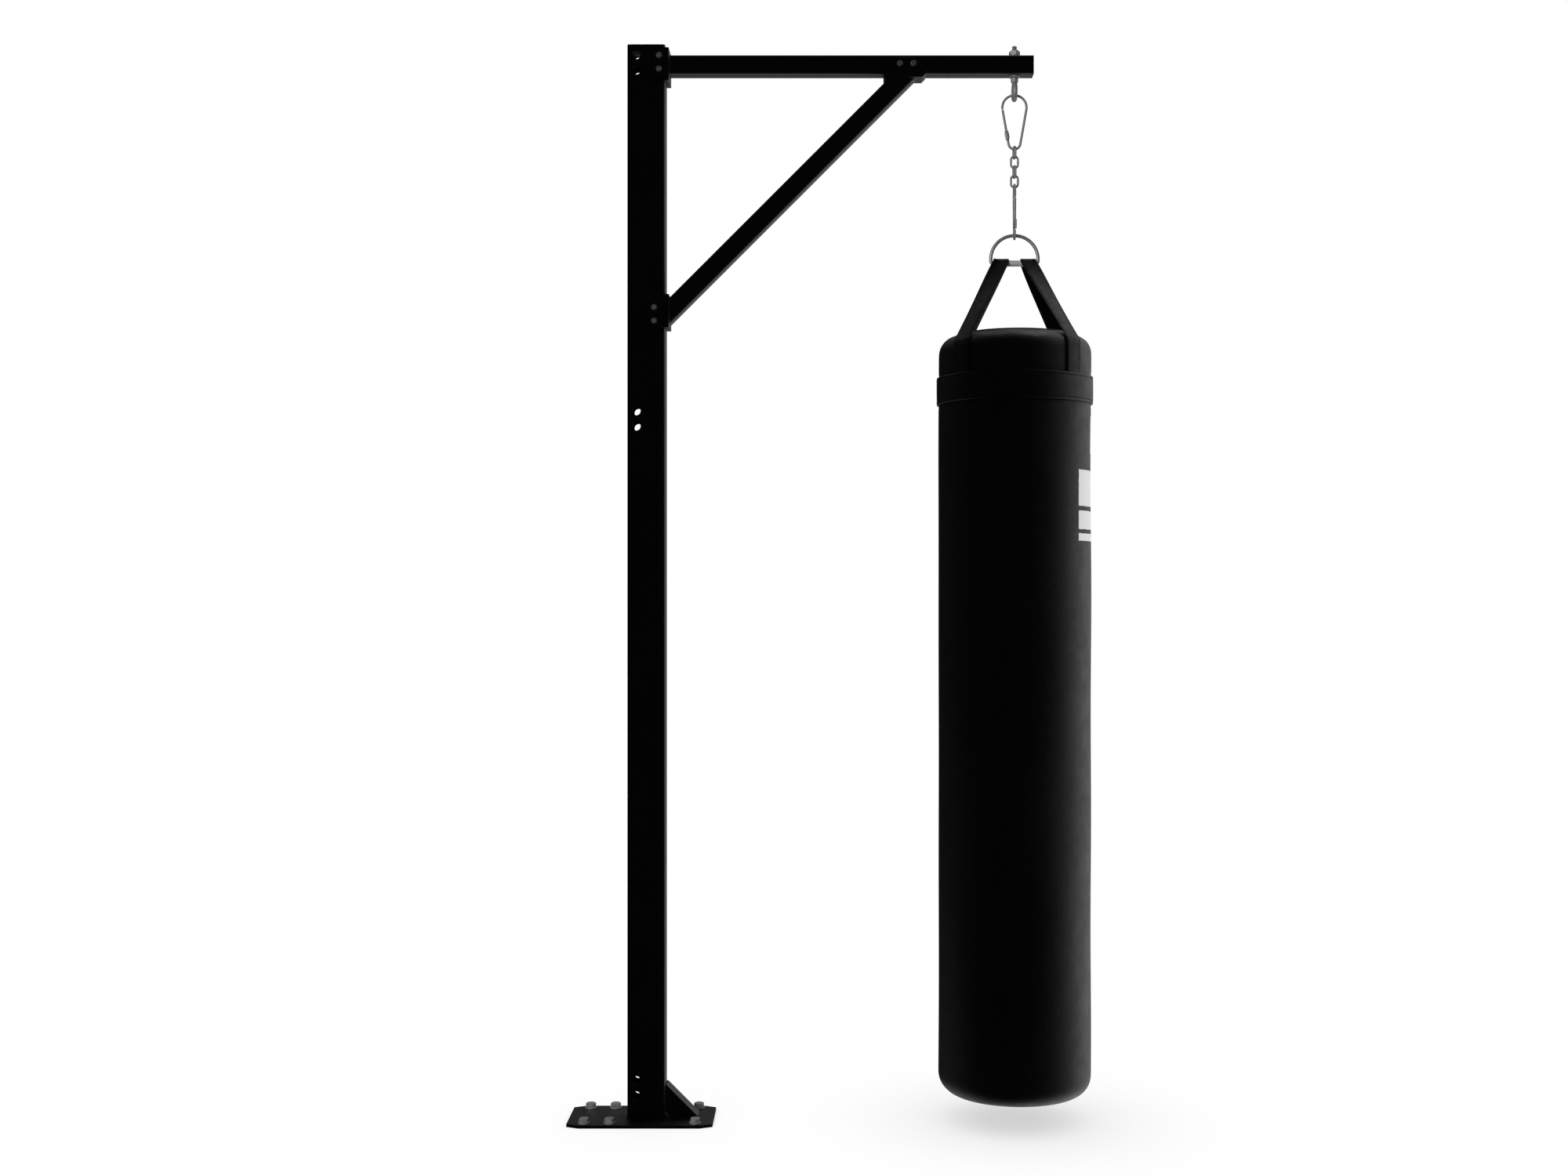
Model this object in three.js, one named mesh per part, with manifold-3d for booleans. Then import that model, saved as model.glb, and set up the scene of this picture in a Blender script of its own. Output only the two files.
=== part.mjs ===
// Heavy punching bag on a floor-bolted steel stand.
// Millimetres, +Z up. Origin: post axis at floor level. +X points along the boom, +Y to the back.
import * as THREE from 'three';
import { mergeVertices } from 'three/addons/utils/BufferGeometryUtils.js';
import Module from 'manifold-3d';

const wasm = await Module();
wasm.setup();

// ---------- driving dimensions ----------
const GAP = 0.3;                 // clearance left between neighbouring pieces
const SLACK = 0.6;               // clearance between hanging pieces that touch in use

const PLATE = { left: -156, right: 136, depth: 140, thickness: 6.4, chamferX: 25, chamferY: 11 };
const ANCHOR_COLUMNS = [-121, -70, 101];
const ANCHOR_ROW = 54;           // anchors stand this far in front of and behind the post axis
const ANCHOR = { shank: 6, flats: 19, head: 8, washer: 12, washerThickness: 2.5 };

const POST = { width: 76.2, depth: 50.8, wall: 3, corner: 5, top: 2166 };
const CAP_HEAD = 3;              // thickness of the plastic caps outside the tubes
const CAP_PLUG = 8;              // length of the caps inside the tubes
const UTILITY_HOLE = { x: -19.6, radius: 8.75, pitch: 30.8, centres: [68.5, 1416, 2132.6] };

const BOOM = { size: 38.1, wall: 2.8, corner: 4.5, axisHeight: 2131, end: 778 };
const BRACE = { size: 38.1, wall: 2.8, corner: 4.5, offset: 1588 };   // axis runs along z = x + offset

const BRACKET = { flange: 7.6, ear: 5, boltPitch: 27, boltHole: 4.5 };
const BOOM_BRACKET = { height: 2132, low: -36, high: 30, boltDepth: 11.4, earReach: 25 };
const BRACE_FOOT = { height: 1625.5, low: -26.5, high: 40.5, boltDepth: 21.2, earReach: 34 };
const BRACE_HEAD = { x: 525, low: -46, high: 39, boltDepth: 19.3, earReach: 31, bevel: 7.6 };
const BRACKET_BOLT = { radius: 4, head: 6.8, headHeight: 4.4, socket: 2.9, socketDepth: 2.6, tail: 11 };
const BRACKET_NUT = { flats: 13, height: 7.5 };

const GUSSET = { leg: 66, width: 38.1, wall: 4, lip: 3, notch: 13 };

const HANG_X = 744;              // the hanging line, measured from the post axis
const EYE = { wire: 5, ring: 15, bottom: 2065, shank: 5, top: 2172, shoulder: 7.5 };
const EYE_NUT = { flats: 20, height: 8.4, collar: 8.4, collarHeight: 2.2 };
const EYE_WASHER = { radius: 12, thickness: 2.5 };

const CARABINER = { wire: 2.5, length: 109, topRadius: 24.5, bottomRadius: 12 };
const HINGE = { pin: 17, bodyEnd: 22.5, flatFrom: 6.5, tongue: 1.2, pinRadius: 1.2 };
const FORK = { low: 8.5, high: 27, width: 8, depth: 7.6, slotEnd: 24, cheekGap: 1.5 };
const LOWER_TURN = THREE.MathUtils.degToRad(87.2);   // the lower carabiner hangs almost edge-on

const LINK = { wire: 2, pitch: 19.6, halfWidth: 7, count: 4 };
const LINK_TURN = THREE.MathUtils.degToRad(12);      // every other link hangs slightly twisted

const D_RING = { wire: 3.5, radius: 47.9, drop: 8.4, corner: 5 };
const ROLLER = { radius: 6.35, halfLength: 43 };

const BAG = { radius: 153, bottom: 60, top: 1584, shoulder: 38, wall: 4, mouth: 112 };
const BELT = { low: 1445, high: 1500, thickness: 4.6, edge: 1.6 };
const STRAP = { thickness: 2.5, width: 41, ringWidth: 31, azimuth: 46, ringX: 27.2 };
const BAG_TURN = 2.4;             // degrees the hanging bag has turned about its axis

const ROUND = 40;                // facets around the bag
const WIRE_SIDES = 8;            // facets around a bent wire

// ---------- materials ----------
const finish = (color, roughness, metalness) => (
  new THREE.MeshStandardMaterial({ color, roughness, metalness }));
const blackSteel = finish(0x0c0c0d, 0.5, 0.4);
const darkFastener = finish(0x2c2c2d, 0.4, 0.8);
const zincSteel = finish(0x8b8b88, 0.35, 1.0);
const blackPlastic = finish(0x0a0a0a, 0.6, 0.0);
const blackLeather = finish(0x0d0d0e, 0.5, 0.0);
const textileFill = finish(0x6b665c, 0.95, 0.0);

// ---------- solids ----------
function closed(geometry) {
  const bare = geometry.clone();
  bare.deleteAttribute('normal');
  bare.deleteAttribute('uv');
  return mergeVertices(bare, 1e-3);
}

function solid(geometry) {
  const merged = closed(geometry);
  const mesh = new wasm.Mesh({
    numProp: 3,
    vertProperties: new Float32Array(merged.attributes.position.array),
    triVerts: new Uint32Array(merged.index.array),
  });
  return new wasm.Manifold(mesh);
}

function geometryOf(manifold) {
  const mesh = manifold.getMesh();
  const geometry = new THREE.BufferGeometry();
  geometry.setAttribute('position', new THREE.BufferAttribute(new Float32Array(mesh.vertProperties), 3));
  geometry.setIndex(new THREE.BufferAttribute(new Uint32Array(mesh.triVerts), 1));
  return geometry;
}

const cut = (geometry, ...tools) => (
  geometryOf(tools.reduce((rest, tool) => rest.subtract(solid(tool)), solid(geometry))));
const join = (first, ...others) => (
  geometryOf(others.reduce((sum, piece) => sum.add(solid(piece)), solid(first))));
const overlap = (a, b) => geometryOf(solid(a).intersect(solid(b)));

function place(name, geometry, material, position = [0, 0, 0], rotation = [0, 0, 0]) {
  const mesh = new THREE.Mesh(geometry, material);
  mesh.name = name;
  mesh.position.set(...position);
  mesh.rotation.set(...rotation);
  return mesh;
}

// A box given by its lowest and highest corners.
function boxBetween(low, high) {
  const size = high.map((value, i) => value - low[i]);
  return new THREE.BoxGeometry(...size).translate(...high.map((value, i) => (value + low[i]) / 2));
}

// A cylinder along Y, or along X or Z when told so, centred on the given point.
function rod(radius, length, centre, axis = 'y', sides = 12) {
  const geometry = new THREE.CylinderGeometry(radius, radius, length, sides);
  if (axis === 'x') geometry.rotateZ(Math.PI / 2);
  if (axis === 'z') geometry.rotateX(Math.PI / 2);
  return geometry.translate(...centre);
}

function roundedRectangle(width, height, radius, path = new THREE.Shape()) {
  const x = width / 2 - radius;
  const y = height / 2 - radius;
  path.absarc(x, y, radius, 0, Math.PI / 2);
  path.absarc(-x, y, radius, Math.PI / 2, Math.PI);
  path.absarc(-x, -y, radius, Math.PI, 1.5 * Math.PI);
  path.absarc(x, -y, radius, 1.5 * Math.PI, 2 * Math.PI);
  path.closePath();
  return path;
}

const extrude = (shape, depth, curveSegments = 2) =>
  new THREE.ExtrudeGeometry(shape, { depth, bevelEnabled: false, curveSegments });

// Outline in x and z, pulled symmetrically out of the y = 0 plane.
function slab(points, width) {
  const shape = new THREE.Shape(points.map(([x, z]) => new THREE.Vector2(x, z)));
  return extrude(shape, width).translate(0, 0, -width / 2).rotateX(Math.PI / 2);
}

// Steel box tube along +Z, its lower end at z = 0.
function boxTube(width, depth, wall, corner, length) {
  const shape = roundedRectangle(width, depth, corner);
  shape.holes.push(roundedRectangle(width - 2 * wall, depth - 2 * wall, corner - wall, new THREE.Path()));
  return extrude(shape, length);
}

// Solid of revolution about Z. Its [radius, height] points start and end on the axis, or form a loop.
function turned(points, sides) {
  const profile = points.map(([radius, height]) => new THREE.Vector2(radius, height));
  return new THREE.LatheGeometry(profile, sides).rotateX(Math.PI / 2);
}

const washerRing = (inner, outer, thickness) =>
  turned([[inner, 0], [outer, 0], [outer, thickness], [inner, thickness], [inner, 0]], 16);

// Hexagonal prism with turned-down corners, standing on z = 0.
function hexagon(flats, height) {
  const corner = flats / Math.sqrt(3);
  const chamfer = (corner - flats / 2) * 0.8;
  const prism = new THREE.CylinderGeometry(corner, corner, height, 6).rotateX(Math.PI / 2);
  const rim = [[0, 0], [corner + 1, 0], [corner + 1, height - chamfer - 1 / Math.sqrt(3)],
    [corner - 2 * chamfer, height], [0, height]];
  return overlap(prism.translate(0, 0, height / 2), turned(rim, 12));
}

// ---------- wire paths in the x-z plane ----------
const arcPoints = (x, z, radius, from, to, steps) => Array.from({ length: steps + 1 }, (_, i) => {
  const angle = THREE.MathUtils.degToRad(from + ((to - from) * i) / steps);
  return new THREE.Vector3(x + radius * Math.cos(angle), 0, z + radius * Math.sin(angle));
});

// A polyline walked at constant speed.
class WirePath extends THREE.Curve {
  constructor(points, loop = false) {
    super();
    this.points = loop ? [...points, points[0]] : points;
    this.distances = [0];
    this.points.slice(1).forEach((point, i) => {
      this.distances.push(this.distances[i] + point.distanceTo(this.points[i]));
    });
  }

  getPoint(t, target = new THREE.Vector3()) {
    const goal = t * this.distances.at(-1);
    const next = Math.min(Math.max(this.distances.findIndex((d) => d >= goal), 1), this.points.length - 1);
    const span = this.distances[next] - this.distances[next - 1];
    const share = (goal - this.distances[next - 1]) / span;
    return target.lerpVectors(this.points[next - 1], this.points[next], share);
  }
}

const bentLoop = (points, radius, steps) =>
  new THREE.TubeGeometry(new WirePath(points, true), steps, radius, WIRE_SIDES, true);

function bentWire(points, radius, steps) {
  const section = new THREE.Shape().absarc(0, 0, radius, 0, 2 * Math.PI);
  return new THREE.ExtrudeGeometry(section, {
    steps,
    extrudePath: new WirePath(points),
    curveSegments: WIRE_SIDES / 2,
    bevelEnabled: false,
  });
}

// ---------- stand ----------
function basePlate() {
  const { left, right, depth, thickness, chamferX, chamferY } = PLATE;
  const y = depth / 2;
  const corners = [[left + chamferX, -y], [right - chamferX, -y], [right, chamferY - y],
    [right, y - chamferY], [right - chamferX, y], [left + chamferX, y], [left, y - chamferY],
    [left, chamferY - y]];
  const shape = new THREE.Shape(corners.map(([x, z]) => new THREE.Vector2(x, z)));
  anchorPlaces().forEach(([px, py]) => {
    shape.holes.push(new THREE.Path().absarc(px, py, ANCHOR.shank + GAP, 0, 2 * Math.PI));
  });
  return place('base_plate', extrude(shape, thickness, 6), blackSteel);
}

const anchorPlaces = () => ANCHOR_COLUMNS.flatMap((x) => [-ANCHOR_ROW, ANCHOR_ROW].map((y) => [x, y]));

function anchors() {
  const { shank, flats, head, washer, washerThickness } = ANCHOR;
  const seat = PLATE.thickness + washerThickness + GAP;
  const shaft = rod(shank, seat + 1, [0, 0, (seat + 1) / 2], 'z');
  const bolt = join(hexagon(flats, head).translate(0, 0, seat), shaft);
  return anchorPlaces().flatMap(([x, y], i) => [
    place(`anchor_bolt_${i + 1}`, bolt, zincSteel, [x, y, 0]),
    place(`anchor_washer_${i + 1}`, washerRing(shank + GAP, washer, washerThickness), zincSteel,
      [x, y, PLATE.thickness + GAP / 2]),
  ]);
}

const boltHeights = (centre) => [centre - BRACKET.boltPitch / 2, centre + BRACKET.boltPitch / 2];

function post() {
  const { width, depth, wall, corner, top } = POST;
  const bottom = PLATE.thickness + GAP;
  const face = width / 2 + GAP;
  const { x, radius, pitch, centres } = UTILITY_HOLE;
  const utilityHeights = centres.flatMap((z) => [z - pitch / 2, z + pitch / 2]);
  const utility = utilityHeights.map((z) => rod(radius, 2 * depth, [x, 0, z - bottom]));
  const bolts = [BOOM_BRACKET, BRACE_FOOT].flatMap(({ height, boltDepth }) => (
    boltHeights(height).map((z) => rod(BRACKET.boltHole, 2 * depth, [face - boltDepth, 0, z - bottom]))));
  const tube = boxTube(width, depth, wall, corner, top - bottom);
  return place('post', cut(tube, ...utility, ...bolts), blackSteel, [0, 0, bottom]);
}

// Plastic cap: a head outside the tube and a plug inside it, along +Z from the tube's end.
function tubeCap(width, depth, wall, corner) {
  const plugCorner = corner - wall;
  const head = extrude(roundedRectangle(width, depth, corner), CAP_HEAD).translate(0, 0, GAP);
  const plug = extrude(roundedRectangle(width - 2 * (wall + GAP), depth - 2 * (wall + GAP), plugCorner),
    CAP_PLUG + 1).translate(0, 0, -CAP_PLUG);
  return join(head, plug);
}

function boom() {
  const start = POST.width / 2 + BRACKET.flange + 2 * GAP;
  const eyeHole = rod(EYE.shank + 0.5, 60, [0, 0, HANG_X - start], 'x');
  const bolts = boltHeights(BRACE_HEAD.x - start).map((z) => rod(BRACKET.boltHole, 60, [0, 0, z]));
  const tube = boxTube(BOOM.size, BOOM.size, BOOM.wall, BOOM.corner, BOOM.end - start);
  const group = new THREE.Group();
  group.position.set(start, 0, BOOM.axisHeight);
  group.rotation.y = Math.PI / 2;
  group.add(place('boom', cut(tube, eyeHole, ...bolts), blackSteel));
  group.add(place('boom_cap', tubeCap(BOOM.size, BOOM.size, BOOM.wall, BOOM.corner), blackPlastic,
    [0, 0, BOOM.end - start]));
  return group;
}

// Square tube whose ends are mitred against the vertical and the horizontal flange.
function brace() {
  const startX = POST.width / 2 + BRACKET.flange + 2 * GAP;
  const endZ = BOOM.axisHeight - BOOM.size / 2 - BRACKET.flange - 2 * GAP;
  const length = (endZ - BRACE.offset - startX) * Math.SQRT2;
  const tube = boxTube(BRACE.size, BRACE.size, BRACE.wall, BRACE.corner, length);
  const { position } = tube.attributes;
  for (let i = 0; i < position.count; i += 1) {
    const shift = position.getZ(i) < length / 2 ? -position.getX(i) : position.getX(i);
    position.setZ(i, position.getZ(i) + shift);
  }
  return place('brace', tube, blackSteel, [startX, 0, startX + BRACE.offset], [0, Math.PI / 4, 0]);
}

// U-shaped bracket: a flange on the tube's face (x > 0) and two ears that straddle the tube (x < 0).
function saddleBracket({ low, high, boltDepth, earReach, bevel = 0 }, tubeWidth) {
  const half = tubeWidth / 2 + GAP;
  const earEnd = BRACKET.boltPitch / 2 + 9;
  const { flange } = BRACKET;
  const outline = [[flange, low], [flange, high - bevel], [0, high], [-2, high],
    [8 - earReach, earEnd + 2], [-earReach, earEnd - 6], [-earReach, 6 - earEnd],
    [8 - earReach, -earEnd - 2], [-2, low], [0, low]];
  const block = slab(outline, 2 * (half + BRACKET.ear));
  const tubeSpace = boxBetween([-2 * earReach, -half, -2 * high], [0, half, 2 * high]);
  const holes = boltHeights(0).map((z) => rod(BRACKET.boltHole, 4 * half, [-boltDepth, 0, z]));
  return cut(block, tubeSpace, ...holes);
}

function brackets() {
  const face = POST.width / 2 + GAP;
  const underBoom = BOOM.axisHeight - BOOM.size / 2 - GAP;
  return [
    place('boom_bracket', saddleBracket(BOOM_BRACKET, POST.depth), blackSteel,
      [face, 0, BOOM_BRACKET.height]),
    place('brace_lower_bracket', saddleBracket(BRACE_FOOT, POST.depth), blackSteel,
      [face, 0, BRACE_FOOT.height]),
    place('brace_upper_bracket', saddleBracket(BRACE_HEAD, BOOM.size), blackSteel,
      [BRACE_HEAD.x, 0, underBoom], [0, Math.PI / 2, 0]),
  ];
}

// Button-head bolt along +Y with its head seat at y = 0.
function bracketBolt(grip) {
  const { radius, head, headHeight, socket, socketDepth, tail } = BRACKET_BOLT;
  const dome = [[0, headHeight], [head * 0.55, headHeight * 0.93], [head * 0.86, headHeight * 0.6],
    [head, headHeight * 0.18], [head, 0], [radius, 0], [radius, -grip - tail], [0, -grip - tail]];
  const key = rod(socket, 2 * socketDepth, [0, 0, headHeight], 'z', 6);
  return cut(turned(dome.reverse(), 12), key).rotateX(Math.PI / 2);
}

function bracketNut() {
  const { flats, height } = BRACKET_NUT;
  const bore = rod(BRACKET_BOLT.radius + GAP, 4 * height, [0, 0, 0], 'z');
  return cut(hexagon(flats, height), bore).rotateX(-Math.PI / 2);
}

function bracketFasteners() {
  const face = POST.width / 2 + GAP;
  const spots = [
    ...boltHeights(BOOM_BRACKET.height).map((z) => [face - BOOM_BRACKET.boltDepth, z, POST.depth]),
    ...boltHeights(BRACE_FOOT.height).map((z) => [face - BRACE_FOOT.boltDepth, z, POST.depth]),
    ...boltHeights(BRACE_HEAD.x).map((x) => [x, BOOM.axisHeight, BOOM.size]),
  ];
  return spots.flatMap(([x, z, tubeWidth], i) => {
    const side = tubeWidth / 2 + GAP + BRACKET.ear + GAP;
    return [
      place(`bracket_bolt_${i + 1}`, bracketBolt(2 * side), darkFastener, [x, -side, z]),
      place(`bracket_nut_${i + 1}`, bracketNut(), darkFastener, [x, side, z]),
    ];
  });
}

// Folded channel gusset: two triangular cheeks under one sloping web.
function baseGusset() {
  const { leg, width, wall, lip, notch } = GUSSET;
  const slope = leg + lip;
  const outline = [[notch, 0], [leg, 0], [leg, lip], [lip, leg], [0, leg], [0, notch]];
  const inside = slope - wall * Math.SQRT2;
  const hollow = slab([[-9, -9], [inside + 9, -9], [-9, inside + 9]], width - 2 * wall);
  const outer = slab(outline, width);
  return place('base_gusset', cut(outer, hollow), blackSteel,
    [POST.width / 2 + GAP, 0, PLATE.thickness + GAP]);
}

// ---------- hanging hardware ----------
function eyeBolt() {
  const { wire, ring, bottom, shank, top, shoulder } = EYE;
  const loop = new THREE.TorusGeometry(ring, wire, WIRE_SIDES, 32).rotateY(Math.PI / 2);
  const washerLow = BOOM.axisHeight - BOOM.size / 2 - 2 * GAP - EYE_WASHER.thickness;
  const neck = 2 * ring + wire / 2 - 1;
  const seat = washerLow - bottom;
  const end = top - bottom;
  const stem = turned([[0, neck], [shoulder - 2, neck], [shoulder, neck + 2], [shoulder, seat],
    [shank, seat], [shank, end - 1], [shank - 1, end], [0, end]], 18);
  return place('eye_bolt', join(loop.translate(0, 0, ring), stem), zincSteel, [HANG_X, 0, bottom]);
}

function eyeBoltSeats() {
  const under = BOOM.axisHeight - BOOM.size / 2 - GAP - EYE_WASHER.thickness;
  const over = BOOM.axisHeight + BOOM.size / 2 + GAP;
  const bore = EYE.shank + GAP;
  const { flats, height, collar, collarHeight } = EYE_NUT;
  const rim = rod(collar, collarHeight, [0, 0, height + collarHeight / 2 - 0.2], 'z', 20);
  const nut = cut(join(hexagon(flats, height), rim), rod(bore, 60, [0, 0, 0], 'z'));
  const washer = washerRing(bore, EYE_WASHER.radius, EYE_WASHER.thickness);
  return [
    place('eye_washer_lower', washer, zincSteel, [HANG_X, 0, under]),
    place('eye_washer_upper', washer, zincSteel, [HANG_X, 0, over]),
    place('eye_nut', nut, zincSteel, [HANG_X, 0, over + EYE_WASHER.thickness + GAP]),
  ];
}

// The pear-shaped snap hook, in the x-z plane, its top wire centred on the origin.
const PEAR = (() => {
  const { length, topRadius, bottomRadius } = CARABINER;
  const topZ = -topRadius;
  const bottomZ = bottomRadius - length;
  const lean = THREE.MathUtils.radToDeg(Math.asin((topRadius - bottomRadius) / (topZ - bottomZ)));
  const [gateFoot] = arcPoints(0, bottomZ, bottomRadius, 180 + lean, 180 + lean, 1);
  const [gateTop] = arcPoints(0, topZ, topRadius, 180 + lean, 180 + lean, 1);
  return { topZ, bottomZ, lean, gateFoot, gateTop, leg: gateFoot.distanceTo(gateTop) };
})();

// Rotation and position that stand a piece built up +Z on the hook's gate side.
function onGateSide(geometry) {
  return geometry.rotateY(THREE.MathUtils.degToRad(-PEAR.lean)).translate(...PEAR.gateFoot.toArray());
}

function hookBody() {
  const { wire, topRadius, bottomRadius } = CARABINER;
  const { topZ, bottomZ, lean, gateFoot, gateTop, leg } = PEAR;
  const end = gateFoot.clone().lerp(gateTop, HINGE.bodyEnd / leg);
  const path = [
    ...arcPoints(0, topZ, topRadius, 180 + lean, -lean, 20),
    ...arcPoints(0, bottomZ, bottomRadius, -lean, -180 + lean, 14),
    end,
  ];
  const trims = [1, -1].map((side) => {
    const [near, far] = [HINGE.tongue, 3 * wire].map((y) => y * side).sort((a, b) => a - b);
    return onGateSide(boxBetween([-2 * wire, near, HINGE.flatFrom], [2 * wire, far, HINGE.bodyEnd + 2]));
  });
  const pinHole = onGateSide(rod(HINGE.pinRadius + GAP, 4 * wire, [0, 0, HINGE.pin]));
  return cut(bentWire(path, wire, 40), ...trims, pinHole);
}

function hookGate() {
  const { wire } = CARABINER;
  const { low, high, width, depth, slotEnd, cheekGap } = FORK;
  const tip = PEAR.leg - GAP - 0.2;
  const stem = rod(wire, tip - high + 2, [0, 0, (tip + high - 2) / 2], 'z', WIRE_SIDES);
  const fork = extrude(roundedRectangle(width, depth, 1.5), high - low).translate(0, 0, low);
  const slot = boxBetween([-width, -cheekGap, low - 1], [width, cheekGap, slotEnd]);
  const pinHole = rod(HINGE.pinRadius + GAP, 2 * depth, [0, 0, HINGE.pin]);
  return onGateSide(cut(join(stem, fork), slot, pinHole));
}

const hookPin = () => onGateSide(rod(HINGE.pinRadius, FORK.depth, [0, 0, HINGE.pin], 'y', 12));

function carabiner(prefix, topHeight, turn) {
  const group = new THREE.Group();
  group.position.set(HANG_X, 0, topHeight);
  group.rotation.z = turn;
  group.add(place(`${prefix}_carabiner`, hookBody(), zincSteel));
  group.add(place(`${prefix}_gate`, hookGate(), zincSteel));
  group.add(place(`${prefix}_gate_pin`, hookPin(), zincSteel));
  return group;
}

const UPPER_HOOK = EYE.bottom + EYE.wire + CARABINER.wire + SLACK;
const FIRST_LINK = UPPER_HOOK - CARABINER.length + CARABINER.wire + LINK.wire + SLACK;
const LINK_REACH = LINK.pitch + 2 * LINK.wire + SLACK;             // between a link's two end wires
const CHAIN_END = FIRST_LINK - (LINK.count - 1) * LINK.pitch - LINK_REACH;
const LOWER_HOOK = CHAIN_END + LINK.wire + CARABINER.wire + SLACK;
const RING_TOP = LOWER_HOOK - CARABINER.length + CARABINER.wire + D_RING.wire + SLACK;
const BAR_HEIGHT = RING_TOP - D_RING.radius - D_RING.drop;
const ROLLER_SEAT = ROLLER.radius + SLACK + STRAP.thickness / 2;   // strap's middle, from the bar's axis

function chainLinks() {
  const { wire, halfWidth, pitch, count } = LINK;
  const outline = [...arcPoints(0, -halfWidth, halfWidth, 0, 180, 8),
    ...arcPoints(0, halfWidth - LINK_REACH, halfWidth, 180, 360, 8)];
  return Array.from({ length: count }, (_, i) => {
    const turn = i % 2 === 0 ? Math.PI / 2 + LINK_TURN : 0;
    return place(`chain_link_${i + 1}`, bentLoop(outline, wire, 20), zincSteel,
      [HANG_X, 0, FIRST_LINK - i * pitch], [0, 0, turn]);
  });
}

function dRing() {
  const { wire, radius, drop, corner } = D_RING;
  const low = -radius - drop;
  const outline = [...arcPoints(0, -radius, radius, 0, 180, 24),
    ...arcPoints(corner - radius, low + corner, corner, 180, 270, 4),
    ...arcPoints(radius - corner, low + corner, corner, 270, 360, 4)];
  return place('d_ring', bentLoop(outline, wire, 44), zincSteel, [HANG_X, 0, RING_TOP]);
}

function ringRoller() {
  const sleeve = washerRing(D_RING.wire + GAP, ROLLER.radius, 2 * ROLLER.halfLength - 2 * D_RING.corner)
    .translate(0, 0, D_RING.corner - ROLLER.halfLength).rotateY(Math.PI / 2);
  return place('ring_roller', sleeve, zincSteel, [HANG_X, 0, BAR_HEIGHT]);
}

// ---------- bag ----------
const quarter = (radius, height, size, from, to) =>
  arcPoints(radius, height, size, from, to, 4).map((point) => [point.x, point.z]);

// Outline of the bag pushed inwards by an inset, from the bottom's centre up to the shoulder's inner edge.
function bagProfile(inset) {
  const { radius, bottom, top, shoulder } = BAG;
  return [[0, bottom + inset],
    ...quarter(radius - shoulder, bottom + shoulder, shoulder - inset, -90, 0),
    ...quarter(radius - shoulder, top - shoulder, shoulder - inset, 0, 90)];
}

function bagParts() {
  const { top, wall, mouth } = BAG;
  const at = [HANG_X, 0, 0];
  const inner = bagProfile(wall).reverse();
  const shell = turned([...bagProfile(0), [mouth, top], [mouth, top - wall], ...inner], ROUND);
  const lid = turned([[0, top - wall], [mouth - GAP, top - wall], [mouth - GAP, top], [0, top]], ROUND);
  const core = turned([...bagProfile(wall + GAP), [0, top - wall - GAP]], ROUND);
  return [
    place('bag_shell', shell, blackLeather, at),
    place('bag_lid', lid, blackLeather, at),
    place('bag_filling', core, textileFill, at),
  ];
}

function belt() {
  const { low, high, thickness, edge } = BELT;
  const inner = BAG.radius + GAP;
  const outer = inner + thickness;
  const ring = turned([[inner, low], [outer - edge, low], [outer, low + edge], [outer, high - edge],
    [outer - edge, high], [inner, high], [inner, low]], ROUND);
  return place('bag_belt', ring, blackLeather, [HANG_X, 0, 0]);
}

// Where a strap leg stands on the bag and where it meets the roller. front is -1 or 1.
function strapRun(side, front) {
  const azimuth = THREE.MathUtils.degToRad(STRAP.azimuth + side * front * BAG_TURN);
  const seat = BAG.radius + GAP + STRAP.thickness / 2;
  const bend = BAG.shoulder + GAP + STRAP.thickness / 2;
  const foot = new THREE.Vector2(side * seat * Math.sin(azimuth), front * seat * Math.cos(azimuth));
  const springing = BAG.top - BAG.shoulder;
  let lean = 0.5;
  for (let i = 0; i < 30; i += 1) {
    const inward = Math.abs(foot.y) - bend * (1 - Math.cos(lean)) - ROLLER_SEAT * Math.cos(lean);
    const upward = BAR_HEIGHT + ROLLER_SEAT * Math.sin(lean) - springing - bend * Math.sin(lean);
    lean = Math.atan2(inward, upward);
  }
  const goal = new THREE.Vector3(side * STRAP.ringX, front * ROLLER_SEAT * Math.cos(lean),
    BAR_HEIGHT + ROLLER_SEAT * Math.sin(lean));
  return { foot, springing, bend, lean, goal };
}

// One leg of a strap: from the belt up the bag's side, over its shoulder and straight to the roller.
function strapLeg(side, front) {
  const { foot, springing, bend, lean, goal } = strapRun(side, front);
  const onBag = new THREE.Vector3(Math.abs(foot.y), -side * front * Math.abs(foot.x), 0).normalize();
  const station = (centre, twist) => ({
    centre,
    across: onBag.clone().lerp(new THREE.Vector3(1, 0, 0), twist).normalize(),
    width: THREE.MathUtils.lerp(STRAP.width, STRAP.ringWidth, twist),
    crown: 1 - twist,
  });
  const overShoulder = (angle) => new THREE.Vector3(foot.x, foot.y - front * bend * (1 - Math.cos(angle)),
    springing + bend * Math.sin(angle));
  const stations = [station(new THREE.Vector3(foot.x, foot.y, BELT.high + GAP), 0)];
  for (let i = 0; i <= 5; i += 1) {
    stations.push(station(overShoulder((lean * i) / 5), 0));
  }
  for (let i = 1; i <= 5; i += 1) {
    const along = i / 5.5;
    stations.push(station(overShoulder(lean).lerp(goal, along), along ** 2.5));
  }
  return stations;
}

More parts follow.
